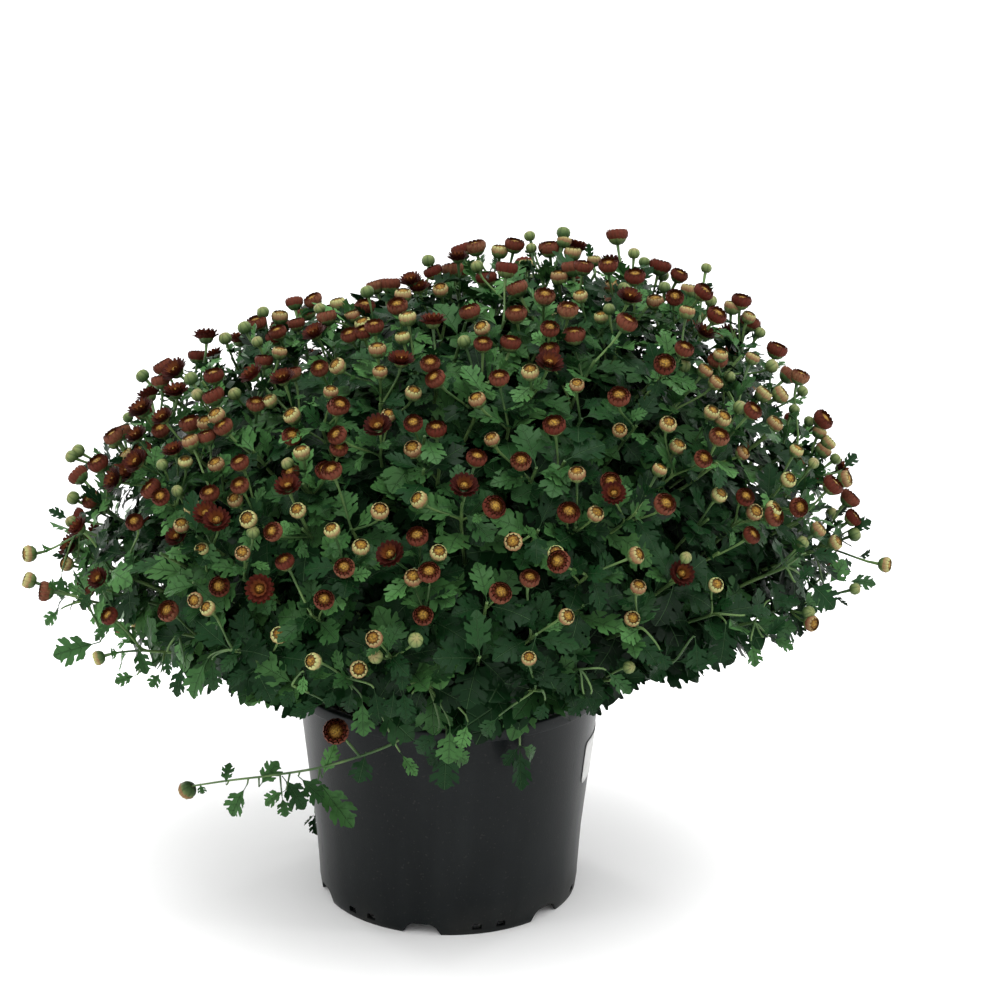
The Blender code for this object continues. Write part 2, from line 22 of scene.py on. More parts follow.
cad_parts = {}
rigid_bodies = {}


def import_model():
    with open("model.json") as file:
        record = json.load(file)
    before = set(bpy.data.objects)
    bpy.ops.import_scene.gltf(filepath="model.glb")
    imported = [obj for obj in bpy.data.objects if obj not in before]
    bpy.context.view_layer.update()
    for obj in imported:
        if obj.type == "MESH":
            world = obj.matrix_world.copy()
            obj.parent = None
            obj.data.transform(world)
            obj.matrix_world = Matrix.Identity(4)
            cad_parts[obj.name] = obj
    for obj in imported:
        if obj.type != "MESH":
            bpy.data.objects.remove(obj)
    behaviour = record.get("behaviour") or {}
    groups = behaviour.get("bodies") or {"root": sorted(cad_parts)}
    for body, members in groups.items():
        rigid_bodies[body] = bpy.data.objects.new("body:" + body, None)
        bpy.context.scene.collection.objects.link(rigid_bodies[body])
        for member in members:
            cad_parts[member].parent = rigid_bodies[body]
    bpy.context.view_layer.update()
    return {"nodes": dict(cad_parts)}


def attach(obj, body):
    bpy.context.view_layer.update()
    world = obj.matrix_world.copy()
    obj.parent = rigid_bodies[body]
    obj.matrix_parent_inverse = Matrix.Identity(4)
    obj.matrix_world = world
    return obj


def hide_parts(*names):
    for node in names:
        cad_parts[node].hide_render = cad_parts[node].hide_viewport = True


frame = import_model()

BODY = "root"
SEED = 11
UP = Vector((0, 0, 1))
GOLDEN_ANGLE = math.radians(137.5)
TURN = 2 * math.pi
LIT_HEIGHT = 0.25

Pair = tuple[float, float]
Triple = tuple[float, float, float]
Colour = Triple
EVEN = (1.0, 1.0, 1.0)
log = logging.getLogger("pot chrysanthemum")


class Slot(Enum):
    """The record's material slots."""

    POT = "pot_plastic"
    LABEL = "label_paper"
    MIX = "potting_mix"
    BARK = "bark"
    STEM = "stem"
    LEAF = "leaf"
    PETAL = "petal"
    BUD = "bud"
    DISC = "disc"


class Stage(Enum):
    """How far a flower head has opened."""

    TIGHT = "tight green bud"
    CRACKED = "bud whose pale petal tips show"
    CUP = "half-open cup"
    BLOOM = "open bloom"


# Shader maths


class Value:
    """A number in a finish, on which Python's operators add Math nodes."""

    def __init__(self, paint: "Paint", socket: Any) -> None:
        """Wraps one output socket of a paint's node tree."""
        self.paint = paint
        self.socket = socket

    def __add__(self, other: Any) -> "Value":
        """The sum."""
        return self.paint.maths("ADD", self, other)

    def __sub__(self, other: Any) -> "Value":
        """The difference."""
        return self.paint.maths("SUBTRACT", self, other)

    def __rsub__(self, other: Any) -> "Value":
        """The difference from a number."""
        return self.paint.maths("SUBTRACT", other, self)

    def __mul__(self, other: Any) -> "Value":
        """The product."""
        return self.paint.maths("MULTIPLY", self, other)

    def __abs__(self) -> "Value":
        """The size without its sign."""
        return self.paint.maths("ABSOLUTE", self)

    __radd__ = __add__

    def fraction(self) -> "Value":
        """What is left after the whole part."""
        return self.paint.maths("FRACT", self)

    def ramped(self, low: float, high: float) -> "Value":
        """Rises smoothly from 0 at low to 1 at high, or falls where low is the greater.

        Args:
            low: The number that gives 0.
            high: The number that gives 1.

        Returns:
            The eased share.
        """
        node = self.paint.node(
            "ShaderNodeMapRange",
            {"interpolation_type": "SMOOTHSTEP"},
            {"Value": self, "From Min": low, "From Max": high},
        )
        return Value(self.paint, node.outputs["Result"])


class Paint:
    """A material and the nodes that its finish asks for."""

    def __init__(self, name: str) -> None:
        """Starts a material with nothing but its shader."""
        self.material = bpy.data.materials.new(name)
        self.material.use_nodes = True
        self.tree = self.material.node_tree
        self.shader = self.tree.nodes["Principled BSDF"]

    def feed(self, socket: Any, value: Any) -> None:
        """Links a socket to a value, or sets it.

        Args:
            socket: The input socket.
            value: A Value, an output socket, a colour, or a number.
        """
        if isinstance(value, Value):
            value = value.socket
        if isinstance(value, bpy.types.NodeSocket):
            self.tree.links.new(value, socket)
        elif isinstance(value, tuple) and socket.type == "RGBA":
            socket.default_value = (*value, 1.0)
        else:
            socket.default_value = value

    def node(
        self, kind: str, settings: dict[str, Any] | None = None, sockets: dict | None = None
    ) -> Any:
        """Adds any node.

        Args:
            kind: The node's type.
            settings: Its settings, set first. A ramp's stops are (place, colour) pairs.
            sockets: What its input sockets get, by name or number.

        Returns:
            The node.
        """
        made = self.tree.nodes.new(kind)
        for key, value in (settings or {}).items():
            if key != "stops":
                setattr(made, key, value)
                continue
            elements = made.color_ramp.elements
            while len(elements) < len(value):
                elements.new(1.0)
            for element, (place, colour) in zip(elements, value):
                element.position = place
                element.color = (*colour, 1.0)
        for key, value in (sockets or {}).items():
            self.feed(made.inputs[key], value)
        return made

    def maths(self, operation: str, *terms: Any) -> Value:
        """A Math node on values and numbers."""
        node = self.node("ShaderNodeMath", {"operation": operation}, dict(enumerate(terms)))
        return Value(self, node.outputs[0])

    def attribute(self, name: str) -> Value:
        """A number that the mesh carries at its points."""
        node = self.node("ShaderNodeAttribute", {"attribute_name": name})
        return Value(self, node.outputs["Fac"])

    def place(self, stretch: Triple = EVEN) -> Any:
        """Object coordinates, stretched along the axes."""
        coordinates = self.node("ShaderNodeTexCoord").outputs["Object"]
        if stretch == EVEN:
            return coordinates
        mapped = self.node("ShaderNodeMapping", {}, {"Vector": coordinates, "Scale": stretch})
        return mapped.outputs["Vector"]

    def height(self) -> Value:
        """How high a point of the surface lies, in metres."""
        split = self.node("ShaderNodeSeparateXYZ", {}, {0: self.place()})
        return Value(self, split.outputs["Z"])

    def noise(self, scale: float, detail: float = 3.0, stretch: Triple = EVEN) -> Value:
        """Soft noise of about 0.3 to 0.7 in Object coordinates, at a scale in lumps per metre."""
        sockets = {"Vector": self.place(stretch), "Scale": scale, "Detail": detail}
        return Value(self, self.node("ShaderNodeTexNoise", {}, sockets).outputs["Fac"])

    def cells(self, scale: float) -> Value:
        """Distance to the nearest of scattered points, as florets and crumbs show it."""
        node = self.node("ShaderNodeTexVoronoi", {}, {"Vector": self.place(), "Scale": scale})
        return Value(self, node.outputs["Distance"])

    def ramp(self, value: Value, *stops: tuple[float, Colour]) -> Any:
        """The colour of a ramp at a value."""
        return self.node("ShaderNodeValToRGB", {"stops": stops}, {"Fac": value}).outputs["Color"]

    def blend(self, low: Any, high: Any, share: Any) -> Any:
        """A colour between two: low at share 0 and high at share 1."""
        node = self.node("ShaderNodeMix", {"data_type": "RGBA"}, {0: share, 6: low, 7: high})
        return node.outputs[2]

    def relief(self, height: Value, depth: float) -> Any:
        """The normal of a height field of 0 to 1, where 1 stands out by the depth in metres."""
        sockets = {"Height": height, "Distance": depth, "Strength": 1.0}
        return self.node("ShaderNodeBump", {}, sockets).outputs["Normal"]

    def finish(self, colour: Any, roughness: Any, normal: Any = None, **fixed: Any) -> Any:
        """Feeds the shader.

        Args:
            colour: The base colour.
            roughness: The roughness.
            normal: The normal, if the surface has relief.
            **fixed: Other sockets that are the same all over, with _ for each space.

        Returns:
            The material.
        """
        self.feed(self.shader.inputs["Base Color"], colour)
        self.feed(self.shader.inputs["Roughness"], roughness)
        if normal is not None:
            self.feed(self.shader.inputs["Normal"], normal)
        for key, value in fixed.items():
            self.feed(self.shader.inputs[key.replace("_", " ")], value)
        return self.material


# Finishes


@dataclass(frozen=True)
class PotPlastic:
    """Moulded black plastic: faint drawn streaks, scuffs, and dust at the foot."""

    slot: Slot = Slot.POT
    fresh: Colour = (0.0036, 0.0050, 0.0054)
    worn: Colour = (0.0100, 0.0122, 0.0126)
    dust: Colour = (0.060, 0.056, 0.048)

    def material(self) -> Any:
        """The material."""
        paint = Paint("pot_plastic")
        streaks = paint.noise(34.0, 3.0, (1.0, 1.0, 0.10)).ramped(0.42, 0.74)
        clouds = paint.noise(11.0, 4.0).ramped(0.40, 0.75)
        scuffs = paint.noise(230.0, 2.0, (1.0, 1.0, 0.35)).ramped(0.66, 0.80)
        specks = paint.noise(520.0, 0.0).ramped(0.735, 0.80)
        low = paint.height().ramped(0.030, 0.0) * clouds
        colour = paint.blend(self.fresh, self.worn, streaks * 0.35 + clouds * 0.35 + scuffs * 0.25)
        colour = paint.blend(colour, self.dust, low * 0.30 + specks * 0.14)
        roughness = 0.285 + streaks * 0.07 + clouds * 0.08 + scuffs * 0.12 + low * 0.25
        ripple = paint.noise(16.0, 2.0, (1.0, 1.0, 0.06))
        grain = paint.noise(900.0, 2.0)
        normal = paint.relief(ripple * 0.93 + grain * 0.07, 0.0011)
        return paint.finish(colour, roughness, normal, Specular_IOR_Level=0.115)


@dataclass(frozen=True)
class LabelPaper:
    """Blank white sticker paper, slightly grubby in patches."""

    slot: Slot = Slot.LABEL
    clean: Colour = (0.47, 0.47, 0.46)
    grubby: Colour = (0.31, 0.30, 0.285)

    def material(self) -> Any:
        """The material."""
        paint = Paint("label_paper")
        smudge = paint.noise(60.0, 4.0).ramped(0.55, 0.85)
        fibre = paint.noise(2400.0, 2.0, (1.0, 1.0, 0.5))
        colour = paint.blend(self.clean, self.grubby, smudge * 0.45)
        return paint.finish(colour, 0.52 + smudge * 0.15, paint.relief(fibre, 0.00004))


@dataclass(frozen=True)
class PeatMix:
    """Moist dark potting mix with paler fibres."""

    slot: Slot = Slot.MIX
    moist: Colour = (0.014, 0.009, 0.006)
    dry: Colour = (0.075, 0.048, 0.030)

    def material(self) -> Any:
        """The material."""
        paint = Paint("potting_mix")
        lumps = paint.noise(170.0, 5.0).ramped(0.35, 0.70)
        crumbs = paint.cells(420.0)
        colour = paint.blend(self.moist, self.dry, lumps * crumbs * 1.6)
        return paint.finish(colour, 0.92, paint.relief(crumbs * 0.6 + lumps * 0.4, 0.0022))


@dataclass(frozen=True)
class Crumb:
    """Bits in the mix: bark chips, or pale grains where the pale attribute is 1."""

    slot: Slot = Slot.MIX
    bark: Colour = (0.055, 0.030, 0.017)
    grain: Colour = (0.62, 0.60, 0.55)
    damp: Colour = (0.020, 0.013, 0.009)

    def material(self) -> Any:
        """The material."""
        paint = Paint("mix_crumbs")
        rough = paint.noise(700.0, 3.0)
        colour = paint.blend(self.bark, self.grain, paint.attribute("pale"))
        colour = paint.blend(colour, self.damp, rough.ramped(0.45, 0.75) * 0.6)
        return paint.finish(colour, 0.88, paint.relief(rough, 0.0006))


@dataclass(frozen=True)
class Bark:
    """Woody stem, brown below and greener above."""

    slot: Slot = Slot.BARK
    wood: Colour = (0.105, 0.078, 0.038)
    green: Colour = (0.085, 0.135, 0.045)
    crack: Colour = (0.030, 0.022, 0.012)

    def material(self) -> Any:
        """The material."""
        paint = Paint("bark")
        fibres = paint.noise(420.0, 4.0, (1.0, 1.0, 0.16))
        colour = paint.blend(self.wood, self.green, paint.height().ramped(0.16, 0.30))
        colour = paint.blend(colour, self.crack, fibres.ramped(0.45, 0.75) * 0.55)
        return paint.finish(colour, 0.72, paint.relief(fibres, 0.0007))


@dataclass(frozen=True)
class StemGreen:
    """Green ribbed stem, with patches of a paler, younger-looking green."""

    slot: Slot = Slot.STEM
    deep: Colour = (0.026, 0.064, 0.018)
    bright_green: Colour = (0.108, 0.185, 0.055)

    def material(self) -> Any:
        """The material."""
        paint = Paint("stem")
        patches = paint.noise(36.0, 2.0).ramped(0.30, 0.68)
        ribs = paint.noise(1500.0, 2.0, (1.0, 1.0, 0.15))
        colour = paint.blend(self.deep, self.bright_green, patches)
        colour = paint.blend(colour, self.deep, ribs.ramped(0.5, 0.75) * 0.4)
        normal = paint.relief(ribs, 0.00025)
        return paint.finish(colour, 0.46, normal, Specular_IOR_Level=0.25)


@dataclass(frozen=True)
class LeafGreen:
    """Leaf blade: blue-green to yellow-green by how light it is painted, with paler veins and a
    soft sheen.
    """

    slot: Slot = Slot.LEAF
    # The greens run from painted shade, through the leaf's green in full light, to a paler
    # yellow-green that is painted light.
    shaded: Colour = (0.0012, 0.0072, 0.0018)
    full: Colour = (0.0056, 0.0290, 0.0074)
    bright_green: Colour = (0.0640, 0.1660, 0.0460)
    vein: Colour = (0.0500, 0.1050, 0.0430)
    spacing: float = 4.55

    def material(self) -> Any:
        """The material."""
        paint = Paint("leaf")
        tone = paint.attribute("tone")
        across = abs(paint.attribute("across"))
        along = paint.attribute("along")
        midrib = across.ramped(0.030, 0.006)
        slanted = abs(((along - across * 0.35) * self.spacing + 0.36).fraction() - 0.5) * 2
        sides = slanted.ramped(0.86, 1.0) * across.ramped(0.42, 0.10)
        veins = paint.maths("MAXIMUM", midrib, sides * 0.6)
        mottle = paint.noise(150.0, 3.0)
        # Each leaf's painted light picks its green on this ramp, from painted shade to painted
        # light.
        colour = paint.ramp(tone, (0.0, self.shaded), (0.5, self.full), (1.0, self.bright_green))
        colour = paint.blend(colour, self.shaded, mottle.ramped(0.48, 0.78) * 0.45)
        colour = paint.blend(colour, self.vein, veins * 0.50)
        normal = paint.relief((1 - veins) * 0.75 + mottle * 0.25, 0.0012)
        return paint.finish(colour, 0.34 + mottle * 0.16, normal, Specular_IOR_Level=0.09)


@dataclass(frozen=True)
class PetalRed:
    """Ray petals: maroon inside, dusty pink outside and cream at a bud's tips, by their blush.

    Where they stand close to the disc they glow orange, by their ember.
    """

    slot: Slot = Slot.PETAL
    maroon: Colour = (0.0330, 0.0042, 0.0024)
    red: Colour = (0.0720, 0.0098, 0.0048)
    dusty: Colour = (0.1270, 0.0370, 0.0200)
    peach: Colour = (0.2550, 0.1600, 0.0740)
    cream: Colour = (0.3900, 0.4050, 0.1600)
    orange: Colour = (0.1500, 0.0460, 0.0060)
    # Painted shade along the petals' side edges, where they meet their neighbours.
    seam: Colour = (0.0450, 0.0160, 0.0080)

    def material(self) -> Any:
        """The material."""
        paint = Paint("petal")
        across = abs(paint.attribute("across"))
        velvet = paint.noise(420.0, 3.0)
        blush = paint.attribute("blush") + paint.attribute("tone") + (velvet - 0.5) * 0.22
        rows = (across * 2.5).fraction()
        edge = across.ramped(0.72, 1.0)
        colour = paint.ramp(
            blush + (rows - 0.5) * 0.10 + edge * 0.07,
            (0.0, self.maroon),
            (0.28, self.red),
            (0.52, self.dusty),
            (0.76, self.peach),
            (1.0, self.cream),
        )
        colour = paint.blend(colour, self.orange, paint.attribute("ember"))
        # Darkens each petal's side edges: painted shade between the petals.
        colour = paint.blend(colour, self.seam, edge * 0.45)
        normal = paint.relief(rows * 0.5 + velvet * 0.5, 0.00035)
        return paint.finish(colour, 0.60 + velvet * 0.2, normal, Specular_IOR_Level=0.12)


@dataclass(frozen=True)
class DiscGold:
    """The crowded golden florets at a flower's middle, redder at their rim."""

    slot: Slot = Slot.DISC
    gold: Colour = (0.320, 0.195, 0.024)
    orange: Colour = (0.125, 0.038, 0.006)
    shadow: Colour = (0.040, 0.014, 0.003)

    def material(self) -> Any:
        """The material."""
        paint = Paint("disc")
        florets = paint.cells(760.0)
        rim = paint.attribute("rim")
        colour = paint.blend(self.gold, self.orange, rim)
        colour = paint.blend(colour, self.shadow, florets.ramped(0.30, 0.85) * 0.8)
        normal = paint.relief(1 - florets, 0.0006)
        return paint.finish(colour, 0.62, normal, Specular_IOR_Level=0.15)


@dataclass(frozen=True)
class BudGreen:
    """Bracts of buds and calyxes: green, and paler where the bud shows through."""

    slot: Slot = Slot.BUD
    bract: Colour = (0.034, 0.072, 0.020)
    pale: Colour = (0.140, 0.175, 0.056)
    blushed: Colour = (0.250, 0.205, 0.088)
    # Painted shade in the grooves where two bracts meet.
    seam: Colour = (0.020, 0.042, 0.011)

    def material(self) -> Any:
        """The material."""
        paint = Paint("bud")
        across = abs(paint.attribute("across"))
        patches = paint.noise(500.0, 3.0)
        blush = paint.attribute("blush") + paint.attribute("tone") + (patches - 0.5) * 0.3
        colour = paint.ramp(blush, (0.0, self.bract), (0.6, self.pale), (1.0, self.blushed))
        # Darkens the grooves where bracts meet: painted shade.
        colour = paint.blend(colour, self.seam, across.ramped(0.55, 1.0) * 0.55)
        normal = paint.relief(1 - across, 0.0005)
        return paint.finish(colour, 0.58, normal, Specular_IOR_Level=0.20)


# Modelling


class Workpiece:
    """A mesh while it is shaped in edit mode, from a primitive on."""

    def __init__(self, name: str, primitive: str, **settings: Any) -> None:
        """Adds the primitive and opens it for editing, all selected.

        Args:
            name: The object's name.
            primitive: The kind of primitive, as its operator names it.
            **settings: The operator's settings.
        """
        bpy.ops.object.select_all(action="DESELECT")
        getattr(bpy.ops.mesh, f"primitive_{primitive}_add")(**settings)
        self.object = bpy.context.active_object
        self.object.name = self.object.data.name = name
        bpy.ops.object.mode_set(mode="EDIT")

    def pick(self, kind: str, test: Callable[[Vector], bool]) -> None:
        """Selects by place.

        Args:
            kind: VERT, EDGE or FACE.
            test: Says whether an element with this middle is selected.
        """
        bpy.ops.mesh.select_mode(type=kind)
        bpy.ops.mesh.select_all(action="DESELECT")
        mesh = bmesh.from_edit_mesh(self.object.data)
        elements = {"VERT": mesh.verts, "EDGE": mesh.edges, "FACE": mesh.faces}[kind]
        for element in elements:
            corners = [element] if kind == "VERT" else element.verts
            middle = sum((v.co for v in corners), Vector()) / len(corners)
            element.select_set(test(middle))
        mesh.select_flush_mode()
        bmesh.update_edit_mesh(self.object.data)

    def middles(self) -> list[Vector]:
        """The middles of the selected edges."""
        mesh = bmesh.from_edit_mesh(self.object.data)
        return [(e.verts[0].co + e.verts[1].co) / 2 for e in mesh.edges if e.select]

    def extrude(self, move: Triple, scale: Triple, about: Any = None) -> None:
        """Extrudes what is selected, then scales the new end about a point."""
        bpy.ops.mesh.extrude_region_move(TRANSFORM_OT_translate={"value": move})
        self.scale(scale, about)

    def scale(self, factors: Triple, about: Any = None) -> None:
        """Scales what is selected.

        Args:
            factors: A factor for each axis.
            about: The point that the scaling keeps, or else the middle.
        """
        if about is None:
            mesh = bmesh.from_edit_mesh(self.object.data)
            chosen = [v.co for v in mesh.verts if v.select]
            about = sum(chosen, Vector()) / len(chosen)
        bpy.ops.transform.resize(value=factors, center_override=tuple(about))

    def draw_up(self, rows: Sequence[Pair]) -> None:
        """Draws the selected ring, which is the first row, through (radius, height) rows."""
        for (radius, height), (wider, higher) in zip(rows, rows[1:]):
            factor = wider / radius
            self.extrude((0, 0, higher - height), (factor, factor, 1.0), (0, 0, higher))

    def mark(self, name: str, value: Callable[[Vector], float] | float) -> None:
        """Writes a number on every selected point.

        Args:
            name: The attribute's name.
            value: The number, or what gives it from a point's place.
        """
        mesh = bmesh.from_edit_mesh(self.object.data)
        layer = mesh.verts.layers.float.get(name) or mesh.verts.layers.float.new(name)
        for v in mesh.verts:
            if v.select:
                v[layer] = value(v.co) if callable(value) else value
        bmesh.update_edit_mesh(self.object.data)

    def done(self, smooth: bool = True) -> Any:
        """Closes the mesh.

        Args:
            smooth: Whether it is shaded smooth.

        Returns:
            The object.
        """
        bpy.ops.object.mode_set(mode="OBJECT")
        if smooth:
            self.object.data.shade_smooth()
        return self.object


def linked(name: str, data: Any) -> Any:
    """A new object in the scene that holds this data."""
    made = bpy.data.objects.new(name, data)
    bpy.context.scene.collection.objects.link(made)
    return made


def discard(objects: Iterable[Any]) -> None:
    """Removes templates and tools that are done with."""
    for item in list(objects):
        bpy.data.objects.remove(item)


def only(*chosen: Any) -> None:
    """Selects these objects and nothing else, the first of them active."""
    bpy.ops.object.select_all(action="DESELECT")
    for item in chosen:
        item.select_set(True)
    bpy.context.view_layer.objects.active = chosen[0]


def modified(piece: Any, kind: str, **settings: Any) -> Any:
    """Adds a modifier and applies it.

    Args:
        piece: The object.
        kind: The modifier's type.
        **settings: Its settings.

    Returns:
        The object.
    """
    only(piece)
    modifier = piece.modifiers.new(kind.lower(), kind)
    for key, value in settings.items():
        setattr(modifier, key, value)
    bpy.ops.object.modifier_apply(modifier=modifier.name)
    return piece


@cache
def material_of(finish: Any) -> Any:
    """The material of a finish, made once."""
    return finish.material()


def set_in_place(piece: Any, finish: Any, replaced: Sequence[str] = ()) -> None:
    """Dresses a finished piece, lets it ride, and reports it.

    Args:
        piece: The object, its place already in its mesh.
        finish: The finish that it takes.
        replaced: The nodes that it stands for.
    """
    only(piece)
    bpy.ops.object.transform_apply(location=True, rotation=True, scale=True)
    piece.data.materials.clear()
    piece.data.materials.append(material_of(finish))
    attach(piece, BODY)
    if replaced:
        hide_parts(*replaced)
    piece.data.calc_loop_triangles()
    log.info("%s: %d triangles", piece.name, len(piece.data.loop_triangles))


def polar(radius: float, turn: float, height: float) -> Vector:
    """The point this far from the axis, turned round it, at a height."""
    return Vector((radius * math.cos(turn), radius * math.sin(turn), height))


def spiralled(number: int, rise: float) -> Vector:
    """The direction with this rise on a spiral round the axis."""
    return polar(math.sqrt(1 - rise * rise), number * GOLDEN_ANGLE, rise)


def along_axes(place: Vector, forward: Vector, upper: Vector, size: float) -> Matrix:
    """The matrix that puts a template at a place.

    Args:
        place: Where its origin goes.
        forward: Where its +Y points.
        upper: Where its +Z roughly points.
        size: Its scale.

    Returns:
        The matrix.
    """
    side = forward.cross(upper).normalized()
    top = side.cross(forward).normalized()
    turn = Matrix((side, forward.normalized(), top)).transposed()
    return Matrix.Translation(place) @ turn.to_4x4() @ Matrix.Scale(size, 4)


def facing(place: Vector, axis: Vector, spin: float, size: float) -> Matrix:
    """The matrix that stands a template's +Z along an axis, turned round it."""
    turn = UP.rotation_difference(axis).to_matrix().to_4x4()
    return Matrix.Translation(place) @ turn @ Matrix.Rotation(spin, 4, "Z") @ Matrix.Scale(size, 4)


class Bunch:
    """Copies of templates, each with its own mesh, that end as one piece."""

    def __init__(self, name: str) -> None:
        """Starts an empty bunch."""
        self.name = name
        self.copies: list[Any] = []

    def add(self, template: Any, matrix: Matrix, **shades: float) -> None:
        """Puts one copy in its place.

        Args:
            template: The modelled object.
            matrix: Where its copy goes.
            **shades: Numbers that the copy carries for its finish.
        """
        mesh = template.data.copy()
        mesh.transform(matrix)
        for name, value in shades.items():
            layer = mesh.attributes.new(name, "FLOAT", "POINT")
            layer.data.foreach_set("value", [value] * len(mesh.vertices))
        self.copies.append(linked(self.name, mesh))

    def piece(self) -> Any:
        """The copies joined into one object."""
        only(*self.copies)
        bpy.ops.object.join()
        joined = bpy.context.view_layer.objects.active
        joined.name = joined.data.name = self.name
        return joined


class Twigs:
    """Stems swept along routes, that end as one piece."""

    def __init__(self, name: str, roundness: int = 1) -> None:
        """Starts an empty bundle.

        Args:
            name: The piece's name.
            roundness: The bevel resolution of the sweep.
        """
        self.name = name
        self.curve = bpy.data.curves.new(name, "CURVE")
        self.curve.dimensions = "3D"
        self.curve.bevel_depth = 1.0
        self.curve.bevel_resolution = roundness
        self.curve.use_fill_caps = True

    def add(self, route: Sequence[Vector], radii: Sequence[float]) -> None:
        """Adds one stem.

        Args:
            route: The points that it follows.
            radii: Its radius at each point.
        """
        spline = self.curve.splines.new("POLY")
        spline.points.add(len(route) - 1)
        for point, place, radius in zip(spline.points, route, radii):
            point.co = (*place, 1.0)
            point.radius = radius

    def piece(self) -> Any:
        """The stems as one mesh object."""
        only(linked(self.name, self.curve))
        bpy.ops.object.convert(target="MESH")
        made = bpy.context.view_layer.objects.active
        made.name = made.data.name = self.name
        made.data.shade_smooth()
        return made


def swept(start: Vector, leaving: Vector, end: Vector, arriving: Vector, count: int) -> list:
    """A smooth route between two points.

    Args:
        start: Where it starts.
        leaving: How it leaves, with a length for how stiffly.
        end: Where it ends.
        arriving: How it arrives.
        count: How many points it has.

    Returns:
        The points.
    """
    route = []
    for k in range(count):
        t = k / (count - 1)
        a, b = 2 * t**3 - 3 * t**2 + 1, t**3 - 2 * t**2 + t
        c, d = -2 * t**3 + 3 * t**2, t**3 - t**2
        route.append(start * a + leaving * b + end * c + arriving * d)
    return route


def at_share(route: Sequence[Vector], share: float) -> tuple[Vector, Vector]:
    """The point at a share of a route, and the way that the route runs there."""
    place = share * (len(route) - 1)
    k = min(int(place), len(route) - 2)
    return route[k].lerp(route[k + 1], place - k), (route[k + 1] - route[k]).normalized()


def tapered(first: float, last: float, count: int) -> list[float]:
    """Radii that shrink evenly."""
    return [first + (last - first) * k / (count - 1) for k in range(count)]


# The dome of the plant


@dataclass(frozen=True)
class Dome:
    """The plant's outer skin, measured from its root crown."""

    half_width: float = 0.290
    half_depth: float = 0.246
    top: float = 0.490
    widest: float = 0.272
    underside: float = 0.123
    lean: float = 0.085
    slimness: float = 0.06
    offset: float = 0.007
    crown: float = 0.157
    hem: tuple[Triple, ...] = (
        (-180, 0.172, 0.178),
        (-150, 0.172, 0.220),
        (-120, 0.168, 0.236),
        (-92, 0.158, 0.216),
        (-60, 0.166, 0.254),
        (-30, 0.184, 0.246),
        (0, 0.180, 0.215),
        (90, 0.178, 0.200),
        (180, 0.172, 0.178),
    )
    rim_radius: float = 0.122
    hem_radius: float = 0.260

    def skin(self, direction: Vector) -> float:
        """How far the skin lies from the crown, in unstretched space."""
        height = self.top - self.crown
        middle = (self.widest - self.crown) / height
        flat, up = math.hypot(direction.x, direction.y), direction.z
        reach = 0.0
        for rise in ((self.top - self.widest) / height, self.underside / height):
            square = flat**2 + (up / rise) ** 2
            linear = up * middle / rise**2
            rest = (middle / rise) ** 2 - 1
            reach = (linear + math.sqrt(max(linear**2 - square * rest, 0.0))) / square
            if reach * up >= middle:
                break
        return reach

    def shape_at(self, height: float) -> Pair:
        """How far the dome leans, and its width as a share of an ellipsoid's, at a height."""
        below = min(max((height - self.crown) / (self.widest - self.crown), 0.0), 1.0)
        above = max(height - self.widest, 0.0) / (self.top - self.widest)
        return self.offset * below + self.lean * above**3, 1 - self.slimness * above**2

    def point(self, direction: Vector, share: float = 1.0) -> Vector:
        """The point this share of the way from the crown to the skin."""
        v = direction * (self.skin(direction) * share)
        height = self.crown + v.z * (self.top - self.crown)
        lean, width = self.shape_at(height)
        x, y = v.x * width * self.half_width + lean, v.y * width * self.half_depth
        return Vector((x, y, height))

    def place(self, point: Vector) -> tuple[Vector, float]:
        """The direction and the share of the way to the skin of a point."""
        lean, width = self.shape_at(point.z)
        x = (point.x - lean) / (width * self.half_width)
        y = point.y / (width * self.half_depth)
        v = Vector((x, y, (point.z - self.crown) / (self.top - self.crown)))
        direction = v.normalized()
        return direction, v.length / self.skin(direction)

    def outward(self, direction: Vector) -> Vector:
        """The skin's normal where a direction meets it."""
        here = self.point(direction)
        side = direction.orthogonal().normalized() * 0.02
        other = direction.cross(side).normalized() * 0.02
        one = self.point((direction + side).normalized()) - here
        two = self.point((direction + other).normalized()) - here
        normal = one.cross(two).normalized()
        return normal if normal.dot(here - Vector((0, 0, self.crown))) > 0 else -normal

    def lowest(self, point: Vector) -> float:
        """How low leaves may hang over this place."""
        azimuth = math.degrees(math.atan2(point.y, point.x))
        near, far = self.hem[0][1:]
        for (a, near_a, far_a), (b, near_b, far_b) in zip(self.hem, self.hem[1:]):
            if a <= azimuth <= b:
                share = (azimuth - a) / (b - a)
                near = near_a + (near_b - near_a) * share
                far = far_a + (far_b - far_a) * share
        out = math.hypot(point.x, point.y) - self.rim_radius
        if out < 0:
            return max(near, 0.180)
        return near + (far - near) * min(out / (self.hem_radius - self.rim_radius), 1.2)


@dataclass(frozen=True)
class Cells:
    """The share of the dome that each shoot node holds, and the branch that it forks from."""

    rings: tuple[tuple[int, float], ...] = (
        (3, math.radians(74)),
        (6, math.radians(46)),
        (9, math.radians(20)),
    )
    branches: int = 6

    def aims(self) -> list[Vector]:
        """The direction of each shoot node, ring by ring from the top."""
        return [
            polar(math.cos(rise), TURN * k / count, math.sin(rise))
            for count, rise in self.rings
            for k in range(count)
        ]

    def cell(self, direction: Vector) -> int:
        """The number of the cell that a direction lies in."""
        aims = self.aims()
        return max(range(len(aims)), key=lambda k: direction.dot(aims[k]))

    def branch(self, cell: int) -> int:
        """The number of the branch that a cell's shoot forks from."""
        aim = self.aims()[cell]
        turn = math.atan2(aim.y, aim.x)
        return int(math.floor(turn / (TURN / self.branches) + 0.501)) % self.branches

    def of_branch(self, branch: int) -> list[int]:
        """The cells of one branch."""
        return [k for k in range(len(self.aims())) if self.branch(k) == branch]


# The view and the studio


